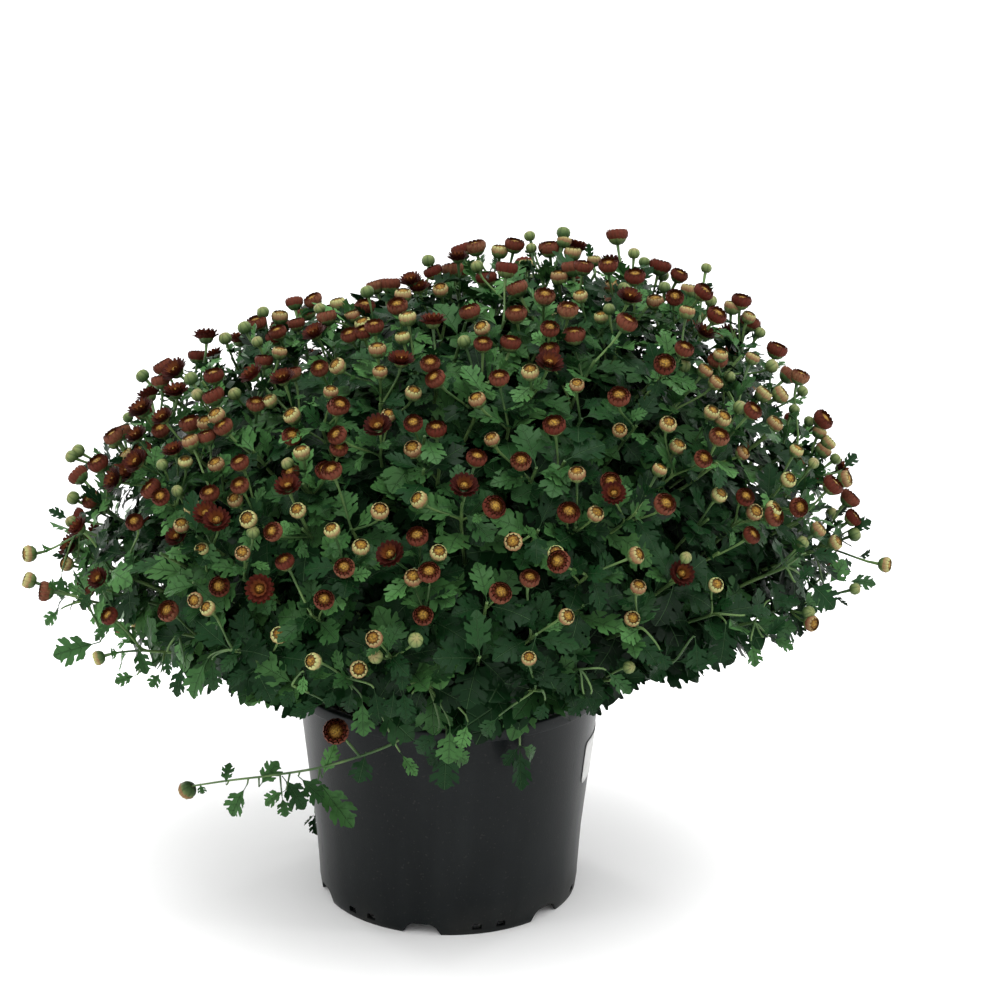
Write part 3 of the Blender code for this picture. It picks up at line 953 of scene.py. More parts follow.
@dataclass(frozen=True)
class View:
    """The camera of the photograph, from in front and a little above."""

    target: Triple = (0.0367, 0.0, 0.308)
    distance: float = 2.919
    elevation: float = 20.37
    roll: float = 0.513
    lens: float = 143.0
    sensor: float = 36.0
    picture: float = 1000.0
    search: float = 0.45
    steps: int = 400

    def turn(self) -> Quaternion:
        """How the camera is turned."""
        tilt = Quaternion((1, 0, 0), math.radians(90 - self.elevation))
        return tilt @ Quaternion((0, 0, 1), math.radians(self.roll))

    def position(self) -> Vector:
        """Where the camera stands."""
        return Vector(self.target) + self.turn() @ Vector((0, 0, self.distance))

    def ray(self, x: float, y: float) -> Vector:
        """The unit direction in which a place is seen, in pixels right and down."""
        step, half = self.sensor / self.lens / self.picture, self.picture / 2
        return (self.turn() @ Vector(((x - half) * step, (half - y) * step, -1))).normalized()

    def seen(self, point: Vector) -> Pair:
        """The place in the picture at which a point is seen."""
        local = self.turn().inverted() @ (point - self.position())
        scale = self.picture * self.lens / self.sensor / -local.z
        return self.picture / 2 + local.x * scale, self.picture / 2 - local.y * scale

    def beside(self, point: Vector, x: float, y: float) -> Vector:
        """The place seen at (x, y) that lies as deep in the picture as a point."""
        start, ray, look = self.position(), self.ray(x, y), self.turn() @ Vector((0, 0, -1))
        return start + ray * ((point - start).dot(look) / ray.dot(look))

    def on_dome(self, dome: Dome, x: float, y: float, share: float) -> Vector:
        """Where a ray through the picture meets the dome, or passes it nearest the middle.

        Args:
            dome: The dome.
            x: How far right, in pixels.
            y: How far down, in pixels.
            share: How far out the surface lies that it is to meet.

        Returns:
            The point.
        """
        start, ray = self.position(), self.ray(x, y)
        nearest = math.inf
        best = start
        for step in range(self.steps):
            depth = self.distance - self.search + 2 * self.search * step / self.steps
            point = start + ray * depth
            out = dome.place(point)[1]
            if out <= share:
                return point
            if out < nearest:
                nearest, best = out, point
        return best

    def camera(self) -> None:
        """Makes the camera."""
        data = bpy.data.cameras.new("camera")
        data.lens = self.lens
        data.sensor_width = self.sensor
        data.clip_end = 60.0
        made = linked("camera", data)
        made.location = self.position()
        made.rotation_mode = "QUATERNION"
        made.rotation_quaternion = self.turn()
        bpy.context.scene.camera = made


@dataclass(frozen=True)
class Light:
    """One soft rectangular light that looks at the plant."""

    name: str
    place: Triple
    size: Pair
    power: float

    def make(self) -> None:
        """Adds the light."""
        data = bpy.data.lights.new(self.name, "AREA")
        data.shape = "RECTANGLE"
        data.size, data.size_y = self.size
        data.energy = self.power
        made = linked(self.name, data)
        made.location = self.place
        aim = UP * LIT_HEIGHT - Vector(self.place)
        made.rotation_euler = aim.to_track_quat("-Z", "Y").to_euler()


@dataclass(frozen=True)
class Studio:
    """A pale floor under soft light."""

    floor_colour: Colour = (0.97, 0.97, 0.97)
    floor_size: float = 60.0
    sky: Colour = (1.0, 1.0, 1.0)
    sky_strength: float = 1.12
    lights: tuple[Light, ...] = (
        Light("overhead", (0.2, -0.4, 2.6), (2.4, 2.4), 60.0),
        Light("left_strip", (-1.9, -0.9, 0.9), (0.35, 2.4), 12.0),
        Light("right_strip", (1.9, -0.35, 0.9), (0.22, 2.4), 12.0),
        Light("left_edge", (-1.5, 1.7, 0.7), (0.60, 1.6), 14.0),
        Light("right_edge", (1.5, 1.5, 0.7), (0.45, 1.6), 9.0),
    )

    def make(self) -> None:
        """Adds the floor, the sky and the lights."""
        bpy.ops.mesh.primitive_plane_add(size=self.floor_size)
        floor = bpy.context.active_object
        floor.name = "floor"
        floor.data.materials.append(Paint("floor").finish(self.floor_colour, 0.85))
        world = bpy.data.worlds.new("sky")
        world.use_nodes = True
        background = world.node_tree.nodes["Background"]
        background.inputs["Color"].default_value = (*self.sky, 1.0)
        background.inputs["Strength"].default_value = self.sky_strength
        scene = bpy.context.scene
        scene.world = world
        scene.view_settings.view_transform = "Standard"
        for light in self.lights:
            light.make()


# The pot


@dataclass(frozen=True)
class Pot:
    """The moulded shell with its lip, foot ring, notches, drain slots and drain holes."""

    height: float = 0.174
    top_radius: float = 0.1195
    base_radius: float = 0.0978
    belly_height: float = 0.050
    belly_radius: float = 0.1002
    wall_top_radius: float = 0.1143
    wall: float = 0.0016
    lip_drop: float = 0.009
    foot_height: float = 0.0098
    corner_height: float = 0.016
    segments: int = 180
    notch_count: int = 6
    notch_first: float = math.radians(-101)
    notch_size: Triple = (0.034, 0.018, 0.0088)
    slot_size: Triple = (0.0072, 0.0040, 0.0086)
    cut_depths: Pair = (0.030, 0.013)
    slot_spread: float = math.radians(5.5)
    drain_circle: float = 0.055
    drain_radius: float = 0.006
    drains: int = 5

    def wall_radius(self, height: float) -> float:
        """The outer radius under the lip, straighter below the belly than above it."""
        if height < self.belly_height:
            share = (height - self.corner_height) / (self.belly_height - self.corner_height)
            return self.base_radius + (self.belly_radius - self.base_radius) * share
        share = (height - self.belly_height) / (self.height - self.belly_height)
        return self.belly_radius + (self.wall_top_radius - self.belly_radius) * share

    def rows(self) -> list[Pair]:
        """The (radius, height) rows that the wall passes through, from the floor's underside
        out over the foot, up the wall, over the lip and down the inside."""
        foot = self.base_radius - 0.0015
        ring = foot - 2 * self.wall
        fold = self.top_radius - self.wall
        lip = self.height - self.lip_drop
        under = self.height - self.wall
        inside = self.wall_top_radius - self.wall
        rows = [
            (ring - 0.002, self.foot_height),
            (ring, self.foot_height - 0.001),
            (ring, 0.0006),
            (ring + 0.0006, 0.0),
            (foot - 0.0006, 0.0),
            (foot, 0.0006),
            (self.base_radius - 0.0010, 0.004),
            (self.base_radius - 0.0002, 0.010),
        ]
        levels = (self.corner_height, 0.030, self.belly_height, 0.080, 0.115, 0.150, under)
        rows += [(self.wall_radius(level), level) for level in levels]
        return rows + [
            (fold, under),
            (fold, lip + 0.0004),
            (fold + 0.0004, lip),
            (self.top_radius - 0.0004, lip),
            (self.top_radius, lip + 0.0006),
            (self.top_radius, self.height - 0.0014),
            (self.top_radius - 0.0006, self.height - 0.0004),
            (self.top_radius - 0.0014, self.height),
            (inside + 0.0012, self.height),
            (inside + 0.0003, self.height - 0.0006),
            (inside - 0.0002, self.height - 0.006),
            (self.wall_radius(0.110) - self.wall, 0.110),
            (self.belly_radius - self.wall, self.belly_height),
            (self.wall_radius(self.corner_height) - self.wall, self.corner_height),
            (self.base_radius - self.wall - 0.003, self.foot_height + self.wall),
        ]

    def block(self, name: str, turn: float, low: float, high: float, sizes: Triple) -> Any:
        """A round-cornered block through the wall, wider below than above.

        Args:
            name: Its name.
            turn: Its turn round the pot.
            low: Its lowest height.
            high: Its highest height.
            sizes: Its width below, its width above and its depth through the wall.

        Returns:
            The cutter.
        """
        below, above, depth = sizes
        tall = high - low
        block = Workpiece(name, "cube", size=1.0)
        block.scale((depth, below, tall), (0, 0, 0))
        block.pick("FACE", lambda middle: middle.z > 0.3 * tall)
        block.scale((1.0, above / below, 1.0), (0, 0, tall / 2))
        block.pick("EDGE", lambda middle: middle.z > 0.3 * tall and abs(middle.x) < 1e-6)
        bpy.ops.mesh.bevel(offset=0.32 * tall, segments=6, affect="EDGES")
        cutter = block.done(smooth=False)
        cutter.rotation_euler.z = turn
        cutter.location = polar(self.base_radius, turn, (low + high) / 2)
        return cutter

    def cutters(self) -> list[Any]:
        """What the notches, slots and drain holes take away."""
        below, above, height = self.notch_size
        width, low, high = self.slot_size
        through, shallow = self.cut_depths
        step = TURN / self.notch_count
        made = []
        for k in range(self.notch_count):
            turn = self.notch_first + k * step
            made.append(self.block("notch", turn, -0.004, height, (below, above, through)))
            for spread in (-self.slot_spread, self.slot_spread):
                middle = turn + step / 2 + spread
                made.append(self.block("slot", middle, low, high, (width, width, shallow)))
        for k in range(self.drains):
            sizes = {"radius": self.drain_radius, "depth": 0.012, "vertices": 24}
            made.append(Workpiece("drain", "cylinder", **sizes).done(smooth=False))
            made[-1].location = polar(self.drain_circle, TURN * k / self.drains, self.foot_height)
        return made

    def make(self) -> None:
        """Builds the shell."""
        rows = self.rows()
        radius, height = rows[0]
        sizes = {"vertices": self.segments, "radius": radius}
        shell = Workpiece("pot_shell", "circle", fill_type="NGON", **sizes)
        bpy.ops.transform.translate(value=(0, 0, height))
        shell.pick("EDGE", lambda middle: math.hypot(middle.x, middle.y) > 0.9 * radius)
        shell.draw_up(rows)
        bpy.ops.mesh.edge_face_add()
        bpy.ops.mesh.select_all(action="SELECT")
        bpy.ops.mesh.normals_make_consistent(inside=False)
        pot = shell.done()
        group = bpy.data.collections.new("pot_tools")
        bpy.context.scene.collection.children.link(group)
        for tool in self.cutters():
            tool.users_collection[0].objects.unlink(tool)
            group.objects.link(tool)
        bpy.context.view_layer.update()
        modified(
            pot, "BOOLEAN", operation="DIFFERENCE", operand_type="COLLECTION", collection=group
        )
        discard(group.objects)
        bpy.data.collections.remove(group)
        only(pot)
        bpy.ops.object.shade_smooth_by_angle(angle=math.radians(38))
        set_in_place(pot, PotPlastic(), ["pot"])


@dataclass(frozen=True)
class Label:
    """A blank sticker with round corners on the pot's right side."""

    pot: Pot
    first: float = math.radians(-21)
    last: float = math.radians(22)
    bottom: float = 0.097
    top: float = 0.131
    thickness: float = 0.0003
    gap: float = 0.0003
    corner: float = 0.008

    def make(self) -> None:
        """Builds the sticker flat, then wraps it round the wall."""
        middle = (self.bottom + self.top) / 2
        radius = self.pot.wall_radius(middle)
        width = (self.last - self.first) * radius
        sheet = Workpiece("pot_sticker", "grid", x_subdivisions=24, y_subdivisions=6, size=1.0)
        sheet.scale((width, self.top - self.bottom, 1.0), (0, 0, 0))
        right, upper = width / 2 - 1e-5, (self.top - self.bottom) / 2 - 1e-5
        sheet.pick("VERT", lambda v: abs(v.x) > right and abs(v.y) > upper)
        bpy.ops.mesh.bevel(offset=self.corner, segments=6, affect="VERTICES")
        sticker = sheet.done()
        for vertex in sticker.data.vertices:
            turn = (self.first + self.last) / 2 + vertex.co.x / radius
            height = middle + vertex.co.y
            out = self.pot.wall_radius(height) + self.gap + self.thickness
            vertex.co = polar(out, turn, height)
        modified(sticker, "SOLIDIFY", thickness=self.thickness, offset=-1.0)
        set_in_place(sticker, LabelPaper(), ["pot_label"])


@dataclass(frozen=True)
class Mix:
    """The potting mix and the bark chips and pale grains that lie on it."""

    top: float = 0.152
    reach: float = 0.106
    crumbs: int = 420
    crown_reach: float = 0.018
    largest: float = 0.0042
    pale_share: float = 0.16

    def make(self, chance: random.Random) -> None:
        """Dresses the mix's node and scatters the crumbs.

        Args:
            chance: The draws that scatter them.
        """
        mix = frame["nodes"]["potting_mix"]
        mix.data.materials.clear()
        mix.data.materials.append(material_of(PeatMix()))
        templates = []
        for k in range(3):
            chip = Workpiece(f"crumb_{k}", "ico_sphere", subdivisions=1, radius=1.0)
            bpy.ops.transform.vertex_random(offset=0.45, seed=k)
            templates.append(chip.done(smooth=False))
        bunch = Bunch("mix_crumbs")
        for _ in range(self.crumbs):
            out = math.sqrt(chance.uniform(self.crown_reach**2, self.reach**2))
            turn = chance.uniform(0, TURN)
            size = self.largest * chance.uniform(0.25, 1.0) ** 1.5
            rise = 0.003 * max(0.0, 1 - out / 0.045)
            place = polar(out, turn, self.top + rise)
            flat = Matrix.Diagonal((1.0, chance.uniform(0.5, 1.0), chance.uniform(0.35, 0.8), 1.0))
            pale = chance.random() < self.pale_share
            if pale:
                size *= 0.6
            matrix = facing(place, UP, chance.uniform(0, TURN), size) @ flat
            bunch.add(chance.choice(templates), matrix, pale=float(pale))
        set_in_place(bunch.piece(), Crumb())
        discard(templates)


# Leaves


@dataclass(frozen=True)
class LeafShape:
    """A lobed blade on its stalk, one unit long from the stem to its tip along +Y.

    The blade's body is (along, half width) stations. Each lobe starts on the body's edge between
    two places, and is drawn out in steps of (sideways, forward, width).
    """

    name: str
    seed: int
    droop: float
    fold: float
    wave: float
    width: float = 1.0
    stalk: float = 0.16
    body: tuple[Pair, ...] = (
        (0.16, 0.013),
        (0.24, 0.060),
        (0.32, 0.110),
        (0.40, 0.136),
        (0.48, 0.130),
        (0.56, 0.134),
        (0.64, 0.150),
        (0.72, 0.140),
        (0.80, 0.158),
        (0.88, 0.150),
        (0.95, 0.094),
    )
    lobes: tuple[Triple, ...] = (
        (0.31, 0.49, 0.86),
        (0.55, 0.73, 1.0),
    )
    steps: tuple[Triple, ...] = (
        (0.080, 0.040, 1.26),
        (0.062, 0.046, 0.94),
    )
    edge: Pair = (0.09, 0.17)
    tooth: Triple = (0.026, 0.024, 0.56)

    def make(self) -> Any:
        """Models the blade flat, draws out its lobes and teeth, then bends it."""
        chance = random.Random(self.seed)
        leaf = Workpiece(self.name, "grid", x_subdivisions=2, y_subdivisions=1, size=1.0)
        width, height = self.body[0][1], self.stalk
        leaf.scale((2 * width, self.stalk, 1.0), (0, 0, 0))
        bpy.ops.transform.translate(value=(0, self.stalk / 2, 0))
        leaf.pick("EDGE", lambda middle: middle.y > self.stalk - 1e-4)
        for along, half in self.body[1:]:
            factor = half / width
            leaf.extrude((0, along - height, 0), (factor, 1.0, 1.0), (0, along, 0))
            width, height = half, along
        leaf.extrude((0, 1.0 - height, 0), (0.22, 1.0, 1.0), (0, 1.0, 0))
        for side in (1, -1):
            for low, high, size in self.lobes:
                self.lobe(leaf, side, low, high, size * chance.uniform(0.85, 1.12))
            self.shoulder(leaf, side)
        bpy.ops.mesh.select_all(action="SELECT")
        leaf.mark("across", lambda v: v.x * 2)
        leaf.mark("along", lambda v: v.y)
        blade = leaf.done()
        self.bend(blade)
        return blade

    def lobe(self, leaf: Workpiece, side: int, low: float, high: float, size: float) -> None:
        """Draws one lobe out of the blade's edge, with two teeth.

        Args:
            leaf: The blade.
            side: 1 for the right edge, -1 for the left.
            low: Where along the blade the lobe starts.
            high: Where it ends.
            size: How large it is.
        """
        inner, outer = self.edge
        leaf.pick("EDGE", lambda m: inner < m.x * side < outer and low < m.y < high)
        for sideways, forward, width in self.steps:
            leaf.extrude((side * sideways * size, forward * size, 0), (0.9, width, 1.0))
        middle = sum(leaf.middles(), Vector()) / 2
        for end in leaf.middles():
            leaf.pick("EDGE", lambda m, end=end: (m - end).length < 1e-4)
            ahead = 1.0 if end.y > middle.y else -0.2
            sideways, forward, width = self.tooth
            leaf.extrude((side * sideways, forward * ahead, 0), (0.6, width, 1.0))

    def shoulder(self, leaf: Workpiece, side: int) -> None:
        """Draws out the end lobe's lower tooth, on the right where side is 1."""
        inner, outer = self.edge
        leaf.pick("EDGE", lambda m: inner < m.x * side < outer and 0.81 < m.y < 0.87)
        leaf.extrude((side * 0.050, 0.034, 0), (0.6, 0.50, 1.0))

    def bend(self, blade: Any) -> None:
        """Droops the blade, folds it along its midrib and waves its edges.

        Args:
            blade: The flat blade.
        """
        for vertex in blade.data.vertices:
            x, y = vertex.co.x * self.width, vertex.co.y
            out = max(y - self.stalk, 0.0)
            ripple = self.wave * math.sin(11 * y + 9 * x) * min(abs(x) * 4, 1.0)
            lift = self.fold * abs(x) - self.droop * out**2 + ripple
            vertex.co = (x * (1 - 0.3 * self.fold), y - 0.35 * self.droop * out**2, lift)


@dataclass
class Foliage:
    """The modelled leaves and the finish that they share."""

    finish: LeafGreen = LeafGreen()
    templates: list[Any] = field(default_factory=list)

    def prepare(self) -> None:
        """Models the leaf templates."""
        shapes = (
            LeafShape("leaf_flat", 1, 0.18, 0.10, 0.020),
            LeafShape("leaf_drooping", 2, 0.55, 0.20, 0.035, 0.95),
            LeafShape("leaf_folded", 3, 0.30, 0.45, 0.025, 1.05),
            LeafShape("leaf_cupped", 4, -0.15, 0.35, 0.030, 0.90),
            LeafShape("leaf_wavy", 5, 0.40, 0.05, 0.055, 1.10),
            LeafShape("leaf_narrow", 6, 0.30, 0.25, 0.030, 0.75),
            LeafShape("leaf_broad", 7, 0.25, 0.15, 0.040, 1.20),
        )
        self.templates = [shape.make() for shape in shapes]

    def clear(self) -> None:
        """Removes the templates."""
        discard(self.templates)


# Flower heads


@dataclass(frozen=True)
class Whorl:
    """One ring of petals: (radius, height, half width) along a petal, its blush and its ember."""

    count: int
    profile: tuple[Triple, ...]
    blush: Pair
    ember: Pair = (0.0, 0.0)

    def shade(self, petal: Workpiece, row: int) -> None:
        """Writes the blush and the ember of a row of the petal on the selected points."""
        last = len(self.profile) - 1
        for name, (low, high) in (("blush", self.blush), ("ember", self.ember)):
            petal.mark(name, low + (high - low) * row / last)


@dataclass(frozen=True)
class HeadShape:
    """A flower head of radius 1 that stands on its stalk along +Z.

    The calyx and the disc are (radius, height) rows. Where a head has no disc, it is a closed bud.
    """

    stage: Stage
    calyx: tuple[Pair, ...]
    calyx_blush: Pair
    whorls: tuple[Whorl, ...] = ()
    disc: tuple[Pair, ...] = ()
    bracts: int = 6

    def lathe(self, name: str, sides: int, rows: Sequence[Pair]) -> Workpiece:
        """A round shell drawn up through rows.

        Args:
            name: Its name.
            sides: How many sides it has.
            rows: Its (radius, height) rows. A last radius of 0 closes it.

        Returns:
            The shell, open for editing.
        """
        radius, height = rows[0]
        shell = Workpiece(name, "circle", vertices=sides, radius=radius, fill_type="NOTHING")
        bpy.ops.transform.translate(value=(0, 0, height))
        shell.draw_up([(max(wider, 1e-4), higher) for wider, higher in rows])
        if rows[-1][0] == 0:
            bpy.ops.mesh.merge(type="CENTER")
        bpy.ops.mesh.select_all(action="SELECT")
        shell.mark("across", self.seam(sides))
        bpy.ops.mesh.normals_make_consistent(inside=False)
        return shell

    def seam(self, sides: int) -> Callable[[Vector], float]:
        """A mark that is 1 on every other side of a shell, where two bracts meet."""

        def mark(place: Vector) -> float:
            step = round(math.atan2(place.y, place.x) / (TURN / sides))
            return float(step % 2)

        return mark

    def make_calyx(self) -> Any:
        """The green cup of bracts, or a closed bud."""
        rows = self.calyx
        shell = self.lathe(f"calyx_{self.stage.name}", 2 * self.bracts, rows)
        low, high = self.calyx_blush
        top = rows[-1][1]
        shell.mark("blush", lambda v: low + (high - low) * (v.z / top) ** 2)
        if rows[-1][0] > 0:
            seam = self.seam(2 * self.bracts)
            shell.pick("VERT", lambda v: v.z > top - 1e-3 and seam(v) == 1.0)
            bpy.ops.transform.translate(value=(0, 0, -0.35 * (top - rows[-2][1])))
        return shell.done()

    def make_petals(self, seed: int) -> Any:
        """The rings of petals.

        Args:
            seed: What makes this copy's petals lie unlike another's.

        Returns:
            The object.
        """
        made = []
        for whorl in self.whorls:
            petal = Workpiece(f"petal_{self.stage.name}", "plane", size=2.0)
            ends = (lambda v: v.y < 0, lambda v: v.y > 0.99 and abs(v.x) > 0.99)
            for row, (end, (radius, height, width)) in enumerate(zip(ends, whorl.profile)):
                petal.pick("VERT", end)
                petal.scale((width, 0.0, 1.0), (0, 0, 0))
                bpy.ops.transform.translate(value=(0, radius, height))
                whorl.shade(petal, row)
            for row, (r, z, w) in enumerate(whorl.profile[2:], start=2):
                petal.extrude((0, r - radius, z - height), (w / width, 1.0, 1.0), (0, r, z))
                whorl.shade(petal, row)
                radius, height, width = r, z, w
            bpy.ops.mesh.select_all(action="SELECT")
            petal.mark("across", lambda v: math.copysign(1.0, v.x))
            if len(made) % 2:
                turn = math.pi / whorl.count
                bpy.ops.transform.rotate(value=-turn, orient_axis="Z", center_override=(0, 0, 0))
            steps = whorl.count - 1
            bpy.ops.mesh.spin(
                steps=steps, dupli=True, angle=TURN * steps / whorl.count, center=(0, 0, 0),
                axis=(0, 0, 1),
            )
            bpy.ops.mesh.select_all(action="SELECT")
            bpy.ops.transform.vertex_random(offset=0.035, seed=seed + len(made))
            made.append(petal.done())
        only(*made)
        bpy.ops.object.join()
        return bpy.context.view_layer.objects.active

    def make_disc(self) -> Any:
        """The mound of florets."""
        mound = self.lathe(f"disc_{self.stage.name}", 8, self.disc)
        rim = self.disc[0][0]
        mound.mark("rim", lambda v: min(math.hypot(v.x, v.y) / rim, 1.0))
        return mound.done()


HEAD_SHAPES = (
    HeadShape(
        Stage.TIGHT,
        calyx=((0.20, 0.0), (0.66, 0.14), (0.96, 0.60), (0.98, 1.05), (0.76, 1.48), (0.36, 1.68),
               (0.0, 1.72)),
        calyx_blush=(0.05, 0.80),
    ),
    HeadShape(
        Stage.CRACKED,
        calyx=((0.20, 0.0), (0.62, 0.12), (0.92, 0.50), (0.99, 0.92)),
        calyx_blush=(0.0, 0.60),
        whorls=(
            Whorl(11, ((0.80, 0.45, 0.28), (0.98, 1.00, 0.33), (0.88, 1.40, 0.28),
                       (0.70, 1.56, 0.13)), (0.56, 0.98)),
            Whorl(9, ((0.60, 0.90, 0.22), (0.72, 1.26, 0.24), (0.54, 1.48, 0.12)), (0.50, 0.74),
                  (0.9, 0.45)),
        ),
        disc=((0.80, 1.24), (0.62, 1.42), (0.0, 1.50)),
    ),
    HeadShape(
        Stage.CUP,
        calyx=((0.16, 0.0), (0.50, 0.10), (0.76, 0.36), (0.84, 0.64)),
        calyx_blush=(0.0, 0.35),
        whorls=(
            Whorl(14, ((0.60, 0.30, 0.22), (0.95, 0.74, 0.28), (1.0, 1.12, 0.27),
                       (0.88, 1.42, 0.12)), (0.46, 0.42)),
            Whorl(13, ((0.58, 0.60, 0.20), (0.82, 1.00, 0.24), (0.82, 1.30, 0.20),
                       (0.66, 1.46, 0.07)), (0.30, 0.22), (0.45, 0.0)),
            Whorl(11, ((0.50, 0.90, 0.16), (0.66, 1.20, 0.18), (0.54, 1.40, 0.06)), (0.12, 0.34),
                  (1.0, 0.35)),
        ),
        disc=((0.62, 1.06), (0.48, 1.26), (0.0, 1.36)),
    ),
    HeadShape(
        Stage.BLOOM,
        calyx=((0.13, 0.0), (0.36, 0.08), (0.50, 0.26), (0.54, 0.42)),
        calyx_blush=(0.0, 0.2),
        whorls=(
            Whorl(16, ((0.34, 0.28, 0.12), (0.74, 0.54, 0.19), (1.0, 0.68, 0.10)), (0.26, 0.10)),
            Whorl(14, ((0.32, 0.38, 0.12), (0.68, 0.76, 0.19), (0.90, 0.98, 0.10)), (0.20, 0.10)),
            Whorl(10, ((0.26, 0.46, 0.12), (0.44, 0.82, 0.17), (0.58, 1.10, 0.08)), (0.28, 0.16),
                  (0.8, 0.1)),
        ),
        disc=((0.34, 0.54), (0.26, 0.74), (0.0, 0.83)),
    ),
)


# The usual radius of each stage's heads, and how deep they are as a share of it
HEAD_SIZES: dict[Stage, Pair] = {
    Stage.TIGHT: (0.0048, 1.4),
    Stage.CRACKED: (0.0059, 1.4),
    Stage.CUP: (0.0073, 1.2),
    Stage.BLOOM: (0.0094, 0.5),
}


# Where the heads that face the camera are seen in its picture, in pixels right and down
HEADS_SEEN: dict[Stage, tuple[tuple[int, int], ...]] = {
    Stage.BLOOM: (
        (433, 322), (401, 361), (378, 427), (288, 487), (206, 337), (253, 375), (283, 379),
        (315, 334), (419, 288), (176, 392), (142, 410), (149, 396), (174, 451), (115, 480),
        (137, 462), (128, 472), (137, 436), (206, 514), (177, 537), (71, 546), (79, 528),
        (99, 579), (549, 364), (317, 331), (411, 281), (629, 298), (704, 333), (681, 574),
        (217, 521), (391, 555), (163, 418), (116, 436), (176, 371), (458, 258), (614, 494),
        (260, 589), (464, 487),
    ),
    Stage.CUP: (
        (197, 353), (162, 364), (213, 373), (274, 334), (264, 358), (292, 371), (319, 367),
        (337, 405), (256, 402), (212, 393), (160, 428), (189, 421), (222, 425), (206, 434),
        (239, 461), (292, 435), (290, 471), (325, 469), (272, 531), (239, 484), (209, 492),
        (160, 496), (149, 487), (142, 448), (76, 473), (89, 498), (134, 521), (284, 560),
        (219, 586), (324, 599), (167, 610), (108, 615), (160, 378), (112, 434), (349, 333),
        (483, 342), (511, 340), (549, 348), (499, 376), (477, 456), (521, 460), (554, 423),
        (495, 506), (417, 535), (413, 422), (436, 427), (339, 447), (336, 434), (331, 469),
        (340, 404), (434, 377), (430, 362), (294, 300), (312, 298), (277, 330), (296, 321),
        (326, 314), (365, 304), (375, 283), (390, 281), (397, 304), (432, 269), (374, 324),
        (363, 330), (460, 247), (475, 244), (452, 266), (486, 275), (469, 309), (515, 242),
        (507, 265), (516, 285), (516, 311), (549, 245), (572, 264), (545, 294), (568, 307),
        (550, 327), (574, 332), (617, 232), (608, 263), (584, 264), (635, 274), (661, 263),
        (680, 273), (628, 320), (675, 296), (705, 290), (718, 313), (685, 347), (665, 363),
        (718, 358), (778, 347), (801, 374), (754, 409), (720, 435), (704, 458), (825, 418),
        (835, 483), (742, 298), (619, 395), (569, 511), (611, 481), (666, 503), (558, 561),
        (746, 496), (776, 515), (753, 534), (800, 507), (852, 496), (855, 516), (344, 567),
        (429, 571), (501, 592), (530, 577), (423, 615), (42, 591), (97, 461), (256, 320),
    ),
    Stage.CRACKED: (
        (280, 349), (335, 364), (331, 389), (268, 398), (290, 413), (205, 420), (215, 413),
        (189, 438), (185, 459), (215, 462), (301, 449), (297, 509), (247, 518), (234, 498),
        (191, 505), (124, 453), (181, 523), (201, 548), (242, 552), (331, 528), (64, 563),
        (206, 607), (194, 600), (402, 334), (530, 369), (476, 397), (491, 437), (513, 541),
        (556, 552), (439, 551), (361, 545), (380, 509), (417, 498), (412, 447), (389, 413),
        (414, 390), (380, 369), (377, 346), (280, 313), (337, 300), (351, 313), (403, 291),
        (407, 314), (362, 321), (440, 287), (481, 326), (500, 247), (573, 249), (559, 273),
        (580, 293), (577, 383), (565, 238), (594, 257), (612, 282), (601, 314), (655, 298),
        (690, 286), (688, 308), (733, 303), (721, 352), (707, 368), (718, 380), (750, 314),
        (754, 355), (784, 392), (766, 391), (777, 421), (713, 410), (724, 416), (745, 451),
        (821, 429), (831, 440), (826, 447), (798, 448), (790, 478), (849, 478), (620, 429),
        (577, 471), (669, 422), (679, 444), (661, 467), (721, 493), (639, 554), (597, 512),
        (639, 585), (633, 618), (568, 616), (717, 584), (756, 511), (776, 507), (821, 527),
        (838, 541), (889, 565), (814, 624), (413, 576), (373, 638), (359, 669), (529, 657),
        (95, 659), (279, 634), (311, 661), (25, 554), (25, 579),
    ),
    Stage.TIGHT: (
        (140, 373), (224, 335), (189, 375), (256, 339), (233, 391), (196, 392), (126, 415),
        (161, 462), (286, 461), (253, 530), (176, 489), (112, 441), (75, 449), (68, 455),
        (70, 496), (69, 519), (463, 338), (318, 306), (366, 288), (428, 257), (476, 263),
        (531, 245), (564, 229), (529, 233), (634, 250), (645, 259), (665, 284), (707, 265),
        (625, 285), (609, 306), (712, 298), (685, 362), (731, 374), (762, 330), (775, 364),
        (805, 389), (742, 404), (796, 407), (811, 419), (838, 457), (815, 461), (687, 556),
        (631, 667), (858, 533), (805, 540), (858, 588), (811, 612), (374, 656), (416, 639),
        (262, 309), (243, 324),
    ),
}
